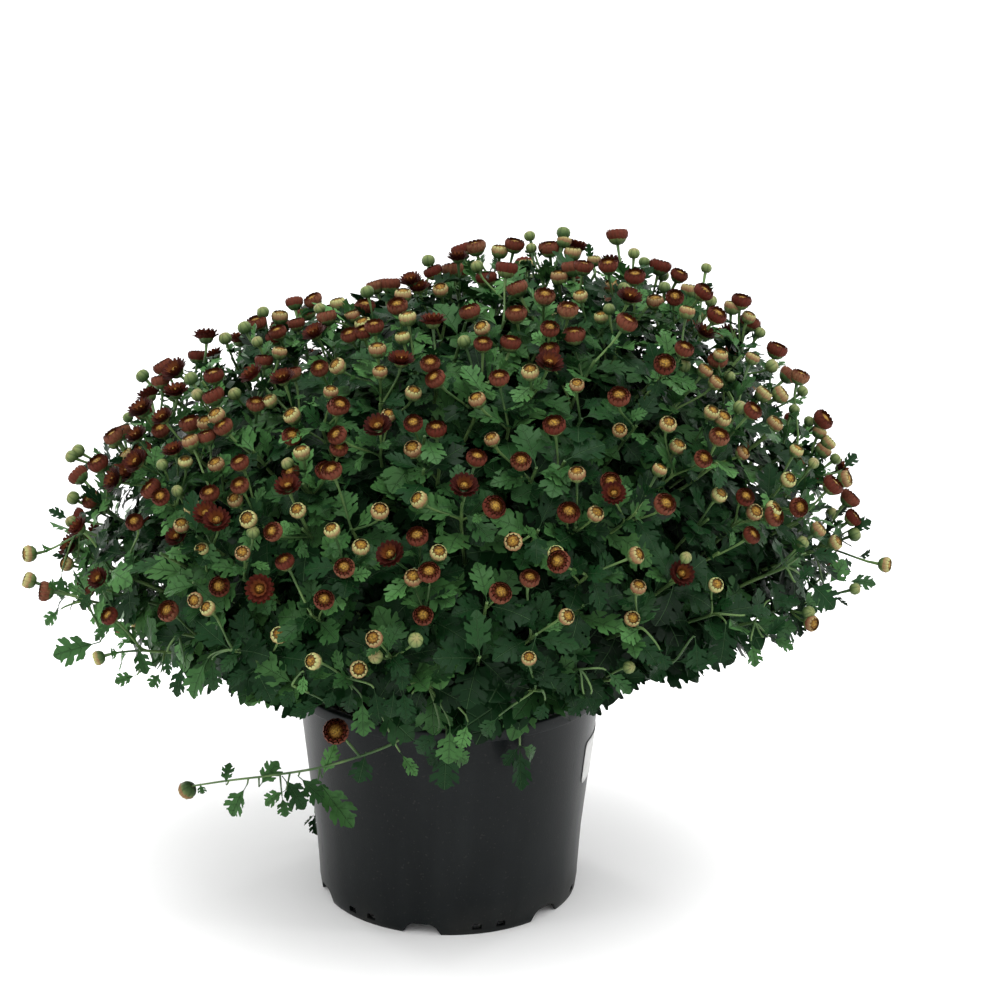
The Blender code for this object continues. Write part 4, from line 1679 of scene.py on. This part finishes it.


# Single leaves at the plant's edge: where in the picture each starts and ends, and its tone, which
# paints it lighter or more shaded
EDGE_LEAVES = (
    (61, 609, 42, 625, 0.75), (100, 642, 50, 656, 0.72), (137, 675, 113, 682, 0.75),
    (161, 672, 149, 688, 0.70), (137, 646, 147, 676, 0.60), (167, 652, 167, 677, 0.55),
    (184, 662, 173, 700, 0.45), (208, 658, 187, 700, 0.70), (212, 660, 215, 694, 0.55),
    (255, 668, 273, 703, 0.40), (252, 668, 228, 684, 0.42), (296, 688, 281, 707, 0.45),
    (324, 703, 291, 715, 0.50), (304, 672, 302, 696, 1.00), (115, 620, 92, 640, 0.65),
    (62, 572, 58, 600, 0.60), (92, 590, 78, 612, 0.55), (240, 650, 222, 672, 0.55),
    (806, 553, 842, 556, 0.50), (796, 582, 815, 566, 0.50), (827, 586, 849, 559, 0.75),
    (846, 581, 877, 582, 0.60), (808, 581, 839, 608, 0.50), (764, 637, 785, 621, 0.50),
    (770, 637, 796, 649, 0.70), (751, 641, 757, 669, 0.75), (726, 624, 722, 666, 0.35),
    (695, 637, 700, 677, 0.45), (745, 615, 775, 606, 0.45), (770, 600, 800, 604, 0.45),
    (591, 694, 566, 717, 0.40), (606, 670, 630, 695, 0.60), (660, 650, 668, 672, 0.40),
    (499, 716, 478, 739, 0.55), (438, 731, 414, 757, 0.45), (403, 688, 407, 722, 0.50),
    (468, 722, 460, 750, 0.95), (450, 726, 449, 766, 0.75), (409, 740, 438, 745, 0.45),
    (400, 752, 418, 777, 0.85), (545, 700, 540, 722, 0.45), (70, 520, 48, 508, 0.50),
    (75, 560, 52, 552, 0.50), (842, 470, 858, 452, 0.45), (850, 530, 872, 520, 0.50),
    (590, 262, 588, 243, 0.60), (533, 262, 530, 245, 0.60), (468, 270, 462, 252, 0.60),
    (420, 292, 415, 275, 0.60), (700, 300, 712, 280, 0.50), (735, 330, 752, 318, 0.50),
    (352, 690, 346, 716, 0.30), (362, 698, 364, 738, 0.70), (394, 690, 391, 722, 0.45),
    (374, 688, 380, 720, 0.30), (334, 688, 327, 708, 0.35), (384, 700, 372, 728, 0.25),
    (412, 694, 404, 726, 0.35), (584, 694, 598, 716, 0.25),
)


class Flowers:
    """The modelled flower heads and the finishes that they share."""

    def __init__(self) -> None:
        """Prepares the finishes."""
        self.finishes = {"petals": PetalRed(), "discs": DiscGold(), "calyxes": BudGreen()}
        self.templates: dict[Stage, dict[str, list[Any]]] = {}

    def prepare(self) -> None:
        """Models each stage's calyx, petals and disc."""
        for shape in HEAD_SHAPES:
            kinds = {"calyxes": [shape.make_calyx()]}
            if shape.whorls:
                kinds["petals"] = [shape.make_petals(seed) for seed in (10, 20, 30)]
                kinds["discs"] = [shape.make_disc()]
            self.templates[shape.stage] = kinds

    def add(
        self, bunches: dict[str, Bunch], stage: Stage, place: Vector, axis: Vector,
        radius: float, chance: random.Random,
    ) -> None:
        """Puts one head at the end of its stalk.

        Args:
            bunches: The bunches that its petals, disc and calyx join.
            stage: How far it has opened.
            place: Where its stalk ends.
            axis: The way that it faces.
            radius: Its radius.
            chance: The draws that make heads differ.
        """
        matrix = facing(place, axis, chance.uniform(0, TURN), radius)
        tones_and_painted_light = {
            "petals": chance.uniform(-0.14, 0.14),
            "calyxes": chance.uniform(-0.20, 0.20),
            "discs": 0.0,
        }
        for kind, options in self.templates[stage].items():
            bunches[kind].add(chance.choice(options), matrix, tone=tones_and_painted_light[kind])

    def bunches(self, before: str = "", after: str = "") -> dict[str, Bunch]:
        """An empty bunch for each kind of part, with its kind in its name."""
        return {kind: Bunch(before + kind + after) for kind in self.finishes}

    def dress(self, bunches: dict[str, Bunch], replaced: Sequence[str]) -> None:
        """Sets bunches of heads in place, each kind in its finish."""
        for kind, bunch in bunches.items():
            set_in_place(bunch.piece(), self.finishes[kind], replaced)

    def clear(self) -> None:
        """Removes the templates."""
        for kinds in self.templates.values():
            for options in kinds.values():
                discard(options)


# The plant


@dataclass(frozen=True)
class Head:
    """Where a flower head belongs, and how far it has opened."""

    place: Vector
    stage: Stage


@dataclass
class Shoot:
    """One leafy shoot, from its branch's fork to its spray, with its heads."""

    direction: Vector
    cell: int
    route: list[Vector]
    heads: list[tuple[float, Head]] = field(default_factory=list)


@dataclass(frozen=True)
class LeafTonesAndPaintedLight:
    """How light and yellow a leaf is painted, from 0 to 1, and what the hem takes away at the
    right as painted shade.
    """

    # everywhere and spread are the leaves' own variation; outside, top, left and left_hem paint
    # light, and right_hem paints shade
    everywhere: float = 0.05
    outside: float = 0.40
    top: float = 0.06
    left: float = 0.08
    left_reach: float = 0.25
    left_hem: float = 0.34
    right_hem: float = 0.16
    hem_height: float = 0.10
    spread: float = 0.24


@dataclass
class Plant:
    """All that grows: branches, shoots, leaves, stalks and flower heads."""

    dome: Dome
    cells: Cells
    view: View
    foliage: Foliage
    flowers: Flowers
    chance: random.Random
    crown_radius: float = 0.0118
    shoot_count: int = 300
    lowest_rise: float = 0.05
    shoot_tips: Pair = (0.88, 0.96)
    clear_of_hem: float = 0.012
    stem_radii: Pair = (0.0021, 0.0011)
    leaves_on_shoot: int = 17
    first_leaf: float = 0.40
    shrink_from: float = 0.55
    shrink_over: float = 0.45
    leaf_longest: float = 0.056
    leaf_shortest: float = 0.030
    outermost: float = 0.995
    heads_tried: int = 520
    near: float = 0.75
    bending_cost: float = 0.06
    crowding_cost: float = 0.002
    stalk_length: float = 0.040
    short_stalk: float = 0.020
    leaves_on_stalk: int = 3
    stalk_leaf: Pair = (0.021, 0.030)
    stalk_starts: tuple[float, ...] = (0.70, 0.80, 0.90, 0.97)
    stalk_radii: tuple[float, ...] = (0.0010, 0.0009, 0.00085, 0.0008, 0.0008, 0.00095, 0.0013)
    lowest_head: float = -0.10
    head_shares: Pair = (0.95, 1.02)
    shares_behind: Pair = (0.93, 1.01)
    edge_share: float = 0.95
    edge_radii: Pair = (0.0010, 0.0006)
    wood_radii: Pair = (0.0028, 0.0021)
    stage_shares: tuple[tuple[Stage, Triple], ...] = (
        (Stage.BLOOM, (0.12, 0.30, -0.10)),
        (Stage.CUP, (0.34, 0.06, -0.04)),
        (Stage.CRACKED, (0.30, -0.12, 0.08)),
    )
    # The painted light and shade of the leaves.
    tones_and_painted_light: LeafTonesAndPaintedLight = LeafTonesAndPaintedLight()
    kept_in_view: tuple[Triple, ...] = ((338, 733, 20), (372, 748, 10))
    pixel: float = 0.00075
    shoots: list[Shoot] = field(default_factory=list)

    def grow(self) -> None:
        """Builds every piece of the plant."""
        self.shoots = self.lay_out()
        heads = self.heads_in_front() + self.heads_behind()
        for head in heads:
            self.assign(head)
        log.info("%d shoots, %d heads", len(self.shoots), len(heads))
        self.make_crown()
        for branch in range(self.cells.branches):
            nodes = [cell + 1 for cell in self.cells.of_branch(branch)]
            self.make_branch(branch)
            own = [s for s in self.shoots if self.cells.branch(s.cell) == branch]
            stems = Twigs(f"stems_{branch + 1}", 2)
            stalks = Twigs(f"stalks_{branch + 1}")
            leaves = Bunch(f"leaves_{branch + 1}")
            bunches = self.flowers.bunches(after=f"_{branch + 1}")
            for shoot in own:
                stems.add(shoot.route, tapered(*self.stem_radii, len(shoot.route)))
                self.leaf_out(shoot, leaves)
                self.flower(shoot, stalks, bunches, leaves)
            shoots = [f"leafy_shoot_{k:02d}" for k in nodes]
            sprays = [f"flower_spray_{k:02d}" for k in nodes]
            set_in_place(stems.piece(), StemGreen(), shoots)
            set_in_place(stalks.piece(), StemGreen(), sprays)
            set_in_place(leaves.piece(), self.foliage.finish, shoots)
            self.flowers.dress(bunches, sprays)
        self.edge_leaves()

    def lay_out(self) -> list[Shoot]:
        """Spreads the shoots over the dome."""
        shoots = []
        for k in range(self.shoot_count):
            rise = self.lowest_rise + (1 - self.lowest_rise) * (k + 0.5) / self.shoot_count
            direction = (spiralled(k, rise) + self.shaken(0.05)).normalized()
            tip = self.dome.point(direction, self.chance.uniform(*self.shoot_tips))
            if tip.z < self.dome.lowest(tip) + self.clear_of_hem:
                continue
            cell = self.cells.cell(direction)
            aim = self.cells.aims()[cell]
            start = self.dome.point(aim, 0.29)
            leaving = (self.dome.point(aim, 0.33) - self.dome.point(aim, 0.28)).normalized()
            span = (tip - start).length
            arriving = (tip - self.dome.point(direction, 0.6)).normalized()
            route = swept(start, leaving * span * 0.9, tip, arriving * span * 0.9, 9)
            shoots.append(Shoot(direction, cell, route))
        return shoots

    def shaken(self, amount: float) -> Vector:
        """A small random offset."""
        draw = self.chance.uniform
        return Vector((draw(-1, 1), draw(-1, 1), draw(-1, 1))) * amount

    def make_crown(self) -> None:
        """The woody stool at soil level, knotted where the branches leave it."""
        crown = Workpiece("crown_wood", "ico_sphere", subdivisions=4, radius=self.crown_radius)
        stool = crown.done()
        for vertex in stool.data.vertices:
            turn = math.atan2(vertex.co.y, vertex.co.x)
            swell = 1 + 0.05 * math.cos(6 * turn) * math.cos(vertex.co.z * 130)
            vertex.co = vertex.co * swell
        stool.location = (0, 0, self.dome.crown)
        set_in_place(stool, Bark(), ["root_crown"])

    def make_branch(self, branch: int) -> None:
        """A woody stem from the crown to its forks."""
        cells = self.cells.of_branch(branch)
        aims = [self.cells.aims()[cell] for cell in cells]
        middle = sum(aims, Vector()).normalized()
        crown = Vector((0, 0, self.dome.crown))
        fork = self.dome.point(middle, 0.15)
        out = (fork - crown).normalized()
        wood = Twigs(f"wood_{branch + 1}", 4)
        stem = [crown + out * 0.0105, crown.lerp(fork, 0.55), fork + out * 0.002]
        wood.add(stem, [0.0040, 0.0034, 0.0031])
        for aim in aims:
            end = self.dome.point(aim, 0.30)
            arriving = (end - fork).normalized()
            span = (end - fork).length
            route = swept(fork - out * 0.002, out * span * 0.6, end, arriving * span * 0.9, 9)
            wood.add(route, tapered(*self.wood_radii, len(route)))
        set_in_place(wood.piece(), Bark(), [f"branch_{branch + 1}"])

    def tone(self, place: Vector, direction: Vector) -> float:
        """How yellow a leaf is painted: painted shade inside the dome and at the right of its hem,
        painted light at the left of its hem.
        """
        inside = self.dome.place(place)[1]
        tones_and_painted_light = self.tones_and_painted_light
        low = max(0.0, 1 - (place.z - self.dome.lowest(place)) / tones_and_painted_light.hem_height)
        top = tones_and_painted_light.top if direction.z > 0.9 else 0.0
        left = min(max(-place.x / tones_and_painted_light.left_reach, 0.0), 1.0)
        hem = low * (tones_and_painted_light.left_hem * left - tones_and_painted_light.right_hem * (1 - left))
        outside = tones_and_painted_light.outside * max(0.0, (inside - 0.5) / 0.4)
        # Painted light near the skin, at the top, at the left and at the left of the hem; painted
        # shade deep inside and at the right of the hem; the base and the random spread are the
        # leaves' own variation.
        base = tones_and_painted_light.everywhere + outside + hem + tones_and_painted_light.left * left + top
        return min(max(base + self.chance.gauss(0, tones_and_painted_light.spread), 0.0), 1.0)

    def leaf_out(self, shoot: Shoot, bunch: Bunch) -> None:
        """Sets leaves round a shoot.

        Args:
            shoot: The shoot.
            bunch: The bunch that its leaves join.
        """
        turn = self.chance.uniform(0, TURN)
        shrinking = self.leaf_shortest - self.leaf_longest
        for k in range(self.leaves_on_shoot):
            share = self.first_leaf + (1 - self.first_leaf) * k / (self.leaves_on_shoot - 1)
            turn += GOLDEN_ANGLE
            late = max(0.0, (share - self.shrink_from) / self.shrink_over)
            size = self.leaf_longest + shrinking * late
            self.one_leaf(shoot, bunch, share, turn, size * self.chance.uniform(0.85, 1.15))

    def one_leaf(
        self, shoot: Shoot, bunch: Bunch, share: float, turn: float, size: float
    ) -> None:
        """Sets one leaf, raised where it would hang below the hem.

        Args:
            shoot: The shoot that it grows from.
            bunch: The bunch that it joins.
            share: Where along the shoot.
            turn: Its turn round the shoot.
            size: Its length.
        """
        place, forward = at_share(shoot.route, share)
        first = forward.orthogonal().normalized()
        second = forward.cross(first)
        away = first * math.cos(turn) + second * math.sin(turn)
        light = (self.dome.outward(shoot.direction) * 0.7 + UP * 0.6).normalized()
        lift = self.chance.uniform(0.25, 0.75)
        for _ in range(3):
            along = (away + forward * lift + self.shaken(0.12)).normalized()
            tip = place + along * size
            if self.hides(place, tip):
                return
            inward = self.dome.place(tip)[1] >= self.outermost
            if tip.z > self.dome.lowest(tip) and not inward:
                upper = (forward * 0.5 + light * 0.8 + self.shaken(0.2)).normalized()
                template = self.chance.choice(self.foliage.templates)
                tone = self.tone(tip, shoot.direction)
                bunch.add(template, along_axes(place, along, upper, size), tone=tone)
                return
            lift += -0.5 if inward else 0.5
            if not inward:
                away = (away + UP * 0.5).normalized()

    def hides(self, base: Vector, tip: Vector) -> bool:
        """Whether a leaf between these points is seen on top of what is to stay in view."""
        half = 0.30 * (tip - base).length / self.pixel
        for k in range(5):
            point = base.lerp(tip, k / 4)
            x, y = self.view.seen(point)
            for a, b, radius in self.kept_in_view:
                if point.y < 0 and math.hypot(x - a, y - b) < radius + half:
                    return True
        return False

    def edge_leaves(self) -> None:
        """The leaves at the plant's edge, each on a stalk from the nearest shoot."""
        stalks = Twigs("edge_stalks")
        blades = Bunch("edge_leaves")
        camera = self.view.position()
        forks = [at_share(s.route, k / 8) for s in self.shoots for k in range(4, 9)]
        for x, y, tip_x, tip_y, tone in EDGE_LEAVES:
            base = self.view.on_dome(self.dome, x, y, self.edge_share)
            reach = self.view.beside(base, tip_x, tip_y) - base
            toward = (camera - base).normalized()
            along = (reach.normalized() + toward * self.chance.uniform(-0.1, 0.3)).normalized()
            direction, _ = self.dome.place(base)
            upper = (toward * 0.8 + self.dome.outward(direction) * 0.4 + UP * 0.5).normalized()
            upper = (upper + self.shaken(0.25)).normalized()
            template = self.chance.choice(self.foliage.templates)
            blades.add(template, along_axes(base, along, upper, reach.length), tone=tone)
            start, forward = min(forks, key=lambda fork: (fork[0] - base).length)
            span = (base - start).length
            route = swept(start, forward * span * 0.6, base, along * span * 0.6, 7)
            stalks.add(route, tapered(*self.edge_radii, len(route)))
        set_in_place(stalks.piece(), StemGreen())
        set_in_place(blades.piece(), self.foliage.finish)

    def stage_at(self, place: Vector) -> Stage:
        """Draws a stage: more open at the left, more closed at the right and low down."""
        left = min(max(0.5 - place.x / 0.56, 0.0), 1.0)
        low = min(max(1 - (place.z - 0.2) / 0.15, 0.0), 1.0)
        draw, reached = self.chance.random(), 0.0
        for stage, (share, at_left, low_down) in self.stage_shares:
            reached += share + at_left * left + low_down * low
            if draw < reached:
                return stage
        return Stage.TIGHT

    def radius_of(self, stage: Stage) -> float:
        """Draws a radius for a head of this stage."""
        return HEAD_SIZES[stage][0] * self.chance.uniform(0.88, 1.12)

    def heads_in_front(self) -> list[Head]:
        """The heads that the camera sees, on the dome behind their places in the picture."""
        return [
            Head(self.view.on_dome(self.dome, x, y, self.chance.uniform(*self.head_shares)), stage)
            for stage, spots in HEADS_SEEN.items()
            for x, y in spots
        ]

    def heads_behind(self) -> list[Head]:
        """Heads spread over the part of the dome that faces away from the camera."""
        found = []
        camera = self.view.position()
        for k in range(self.heads_tried):
            rise = self.lowest_head + (1 - self.lowest_head) * (k + 0.5) / self.heads_tried
            direction = (spiralled(k, rise) + self.shaken(0.06)).normalized()
            place = self.dome.point(direction, self.chance.uniform(*self.shares_behind))
            facing_camera = self.dome.outward(direction).dot((camera - place).normalized())
            if facing_camera < -0.06 and place.z > self.dome.lowest(place) + 0.018:
                found.append(Head(place, self.stage_at(place)))
        return found

    def assign(self, head: Head) -> None:
        """Gives a head to the shoot that lies best for its stalk.

        Args:
            head: The head.
        """
        direction, _ = self.dome.place(head.place)
        outward = self.dome.outward(direction)
        best, least = None, math.inf
        for shoot in self.shoots:
            if shoot.direction.dot(direction) < self.near:
                continue
            for share in self.stalk_starts:
                step = head.place - at_share(shoot.route, share)[0]
                length = step.length
                bent = 1 - step.dot((outward + UP * 0.8).normalized()) / max(length, 1e-6)
                crowded = self.crowding_cost * len(shoot.heads)
                cost = abs(length - self.stalk_length) + self.bending_cost * bent + crowded
                if cost < least:
                    best, least = (shoot, share), cost
        if best:
            shoot, share = best
            shoot.heads.append((share, head))

    def flower(
        self, shoot: Shoot, stalks: Twigs, bunches: dict[str, Bunch], leaves: Bunch
    ) -> None:
        """Gives a shoot's heads their stalks.

        Args:
            shoot: The shoot.
            stalks: The stems that its stalks join.
            bunches: The bunches that its heads join.
            leaves: The bunch that the small leaves on its stalks join.
        """
        for share, head in shoot.heads:
            start, forward = at_share(shoot.route, share)
            place, radius = head.place, self.radius_of(head.stage)
            span = (place - start).length
            direction, _ = self.dome.place(place)
            outward = self.dome.outward(direction)
            axis = (place - start).normalized() + outward * 0.65 + UP * 0.35 + self.shaken(0.22)
            axis.normalize()
            neck = place - axis * (HEAD_SIZES[head.stage][1] * radius)
            route = swept(start, forward * span * 0.5, neck, axis * span * 0.8, 7)
            stalks.add(route, self.stalk_radii)
            self.flowers.add(bunches, head.stage, neck, axis, radius, self.chance)
            turn = self.chance.uniform(0, TURN)
            for k in range(self.leaves_on_stalk if span > self.short_stalk else 1):
                turn += GOLDEN_ANGLE
                base, running = at_share(route, 0.15 + 0.24 * k + self.chance.uniform(0, 0.12))
                away = running.orthogonal().normalized()
                away.rotate(Quaternion(running, turn))
                along = (away + running * 0.8).normalized()
                size = self.chance.uniform(*self.stalk_leaf) * (1 - 0.22 * k)
                if self.hides(base, base + along * size):
                    continue
                template = self.chance.choice(self.foliage.templates)
                tone = self.tone(place, direction)
                leaves.add(template, along_axes(base, along, running, size), tone=tone)


@dataclass
class TrailingShoot:
    """The long shoot over the rim at the front left, with its leaves, bud and bloom."""

    view: View
    foliage: Foliage
    flowers: Flowers
    chance: random.Random
    route: tuple[Triple, ...] = (
        (-0.0030, -0.0125, 0.1590),
        (-0.0100, -0.0600, 0.1760),
        (-0.0160, -0.1020, 0.1830),
        (-0.0230, -0.1290, 0.1810),
        (-0.0440, -0.1330, 0.1680),
        (-0.0841, -0.1210, 0.1480),
        (-0.1214, -0.1000, 0.1310),
        (-0.1600, -0.0820, 0.1175),
        (-0.1880, -0.0670, 0.1060),
    )
    radius: float = 0.0013
    tip_radius: float = 0.0007
    bud_radius: float = 0.0068
    nod: float = 0.55
    bloom_place: Triple = (-0.0789, -0.1390, 0.1826)
    bloom_radius: float = 0.0094
    bloom_axis: Triple = (-0.12, -0.90, 0.42)
    fork: float = 0.56
    leaf_nodes: int = 7
    leaf_stalk: Triple = (0.0008, 0.0006, 0.0005)
    # Each leaf: where in the picture it starts and ends, and its tone, which paints it lighter or
    # more shaded.
    leaves: tuple[tuple[float, float, float, float, float], ...] = (
        (366, 752, 358, 786, 0.45),
        (322, 778, 336, 742, 1.00),
        (318, 780, 352, 827, 0.72),
        (298, 776, 328, 802, 0.60),
        (282, 776, 309, 811, 0.55),
        (259, 787, 279, 760, 0.80),
        (286, 790, 262, 805, 0.80),
        (282, 796, 286, 818, 0.70),
        (247, 785, 227, 819, 0.75),
        (226, 785, 227, 761, 0.70),
        (200, 783, 203, 796, 0.70),
    )

    def smooth(self) -> list[Vector]:
        """The stem's route as a smooth curve through its points."""
        knots = [Vector(p) for p in self.route]
        knots = [2 * knots[0] - knots[1], *knots, 2 * knots[-1] - knots[-2]]
        route = []
        for a, b, c, d in zip(knots, knots[1:], knots[2:], knots[3:]):
            route += swept(b, (c - a) / 2, c, (d - b) / 2, 6)[:-1]
        return [*route, knots[-2]]

    def make(self) -> None:
        """Builds the shoot's pieces."""
        route = self.smooth()
        twigs = Twigs("trailing_stem_green", 3)
        twigs.add(route, tapered(self.radius, self.tip_radius, len(route)))
        leaves = Bunch("trailing_leaves")
        camera = self.view.position()
        for x, y, tip_x, tip_y, tone in self.leaves:
            near = min(route, key=lambda point: abs(self.view.seen(point)[0] - x))
            base = self.view.beside(near, x, y)
            reach = self.view.beside(near, tip_x, tip_y) - base
            toward = (camera - base).normalized()
            along = (reach.normalized() + toward * self.chance.uniform(-0.1, 0.35)).normalized()
            aside = Vector((self.chance.uniform(-0.5, 0.5), 0, 0))
            upper = (toward + UP * 0.4 + aside).normalized()
            template = self.chance.choice(self.foliage.templates)
            leaves.add(template, along_axes(base, along, upper, reach.length), tone=tone)
            if (base - near).length > 0.002:
                twigs.add([near, near.lerp(base, 0.5) - UP * 0.001, base], self.leaf_stalk)
        heads = self.flowers.bunches("trailing_")
        tip, running = at_share(route, 1.0)
        nodding = (running - UP * self.nod).normalized()
        self.flowers.add(heads, Stage.CRACKED, tip, nodding, self.bud_radius, self.chance)
        start, _ = at_share(route, self.fork)
        place = Vector(self.bloom_place)
        axis = Vector(self.bloom_axis).normalized()
        neck = place - axis * 1.1 * self.bloom_radius
        span = (neck - start).length
        stalk = swept(start, (neck - start) * 0.8, neck, axis * span * 0.8, 7)
        twigs.add(stalk, [0.0010] * 6 + [0.0013])
        self.flowers.add(heads, Stage.CUP, neck, axis, self.bloom_radius, self.chance)
        set_in_place(twigs.piece(), StemGreen(), ["trailing_stem"])
        nodes = [f"trailing_leaf_{k + 1}" for k in range(self.leaf_nodes)]
        set_in_place(leaves.piece(), self.foliage.finish, nodes)
        self.flowers.dress(heads, ["trailing_bud", "trailing_bloom"])


@dataclass
class HangingLeaves:
    """Leaves on drooping stalks that pass over the rim."""

    foliage: Foliage
    chance: random.Random
    rim_radius: float = 0.1195
    height: float = 0.1795
    clearance: float = 0.004
    leaves: tuple[Triple, ...] = (
        (-65, 0.014, 0.032),
        (-90, 0.010, 0.036),
        (147, 0.153, 0.020),
    )
    # Each sprig leaf: its lean, lift, share of the length, and its tone, which paints it lighter
    # or more shaded.
    sprig: tuple[tuple[float, float, float, float], ...] = (
        (0.05, 0.0, 1.0, 0.50),
        (-0.9, 0.35, 0.66, 0.70),
        (0.8, 0.20, 0.60, 0.40),
    )
    small_leaf: float = 0.021
    spacing: float = 0.019

    def make(self) -> None:
        """Builds the stalks and blades."""
        stalks = Twigs("hanging_stalks", 2)
        blades = Bunch("hanging_leaves")
        clear = self.rim_radius + self.clearance
        for degrees, drop, length in self.leaves:
            out = polar(1.0, math.radians(degrees), 0.0)
            points = [
                out * (0.6 * self.rim_radius) + UP * (self.height + 0.004),
                out * (0.95 * self.rim_radius) + UP * (self.height + 0.001),
                out * clear + UP * (self.height - 0.004),
                out * (clear + 0.001) + UP * (self.height - 0.004 - drop),
            ]
            stalks.add(points, [0.0010, 0.0010, 0.0009, 0.0008])
            aside = out.cross(UP)
            for lean, lift, share, tone in self.sprig:
                along = (out * 0.12 + aside * lean + UP * (lift - 1)).normalized()
                upper = (out + aside * lean * 0.4 + UP * 0.3).normalized()
                matrix = along_axes(points[-1], along, upper, length * share)
                template = self.chance.choice(self.foliage.templates)
                blades.add(template, matrix, tone=tone + self.chance.uniform(-0.1, 0.1))
            for k in range(1, int(drop / self.spacing)):
                base = points[2].lerp(points[3], k * self.spacing / drop)
                lean = 0.30 if k % 2 else -0.10
                along = (aside + out * lean + UP * self.chance.uniform(-0.7, 0.1)).normalized()
                matrix = along_axes(base, along, (out + UP * 0.5).normalized(), self.small_leaf)
                template = self.chance.choice(self.foliage.templates)
                blades.add(template, matrix, tone=self.chance.uniform(0.3, 0.7))
        set_in_place(stalks.piece(), StemGreen())
        nodes = [f"hanging_leaf_{k + 1}" for k in range(len(self.leaves))]
        set_in_place(blades.piece(), self.foliage.finish, nodes)


def main() -> None:
    """Builds the studio, the pot and the plant."""
    logging.basicConfig(level=logging.INFO, format="%(name)s: %(message)s", stream=sys.stdout)
    chance = random.Random(SEED)
    view = View()
    view.camera()
    Studio().make()
    pot = Pot()
    pot.make()
    Label(pot).make()
    Mix().make(chance)
    foliage = Foliage()
    foliage.prepare()
    flowers = Flowers()
    flowers.prepare()
    Plant(Dome(), Cells(), view, foliage, flowers, chance).grow()
    TrailingShoot(view, foliage, flowers, chance).make()
    HangingLeaves(foliage, chance).make()
    foliage.clear()
    flowers.clear()


if __name__ == "__main__":
    main()
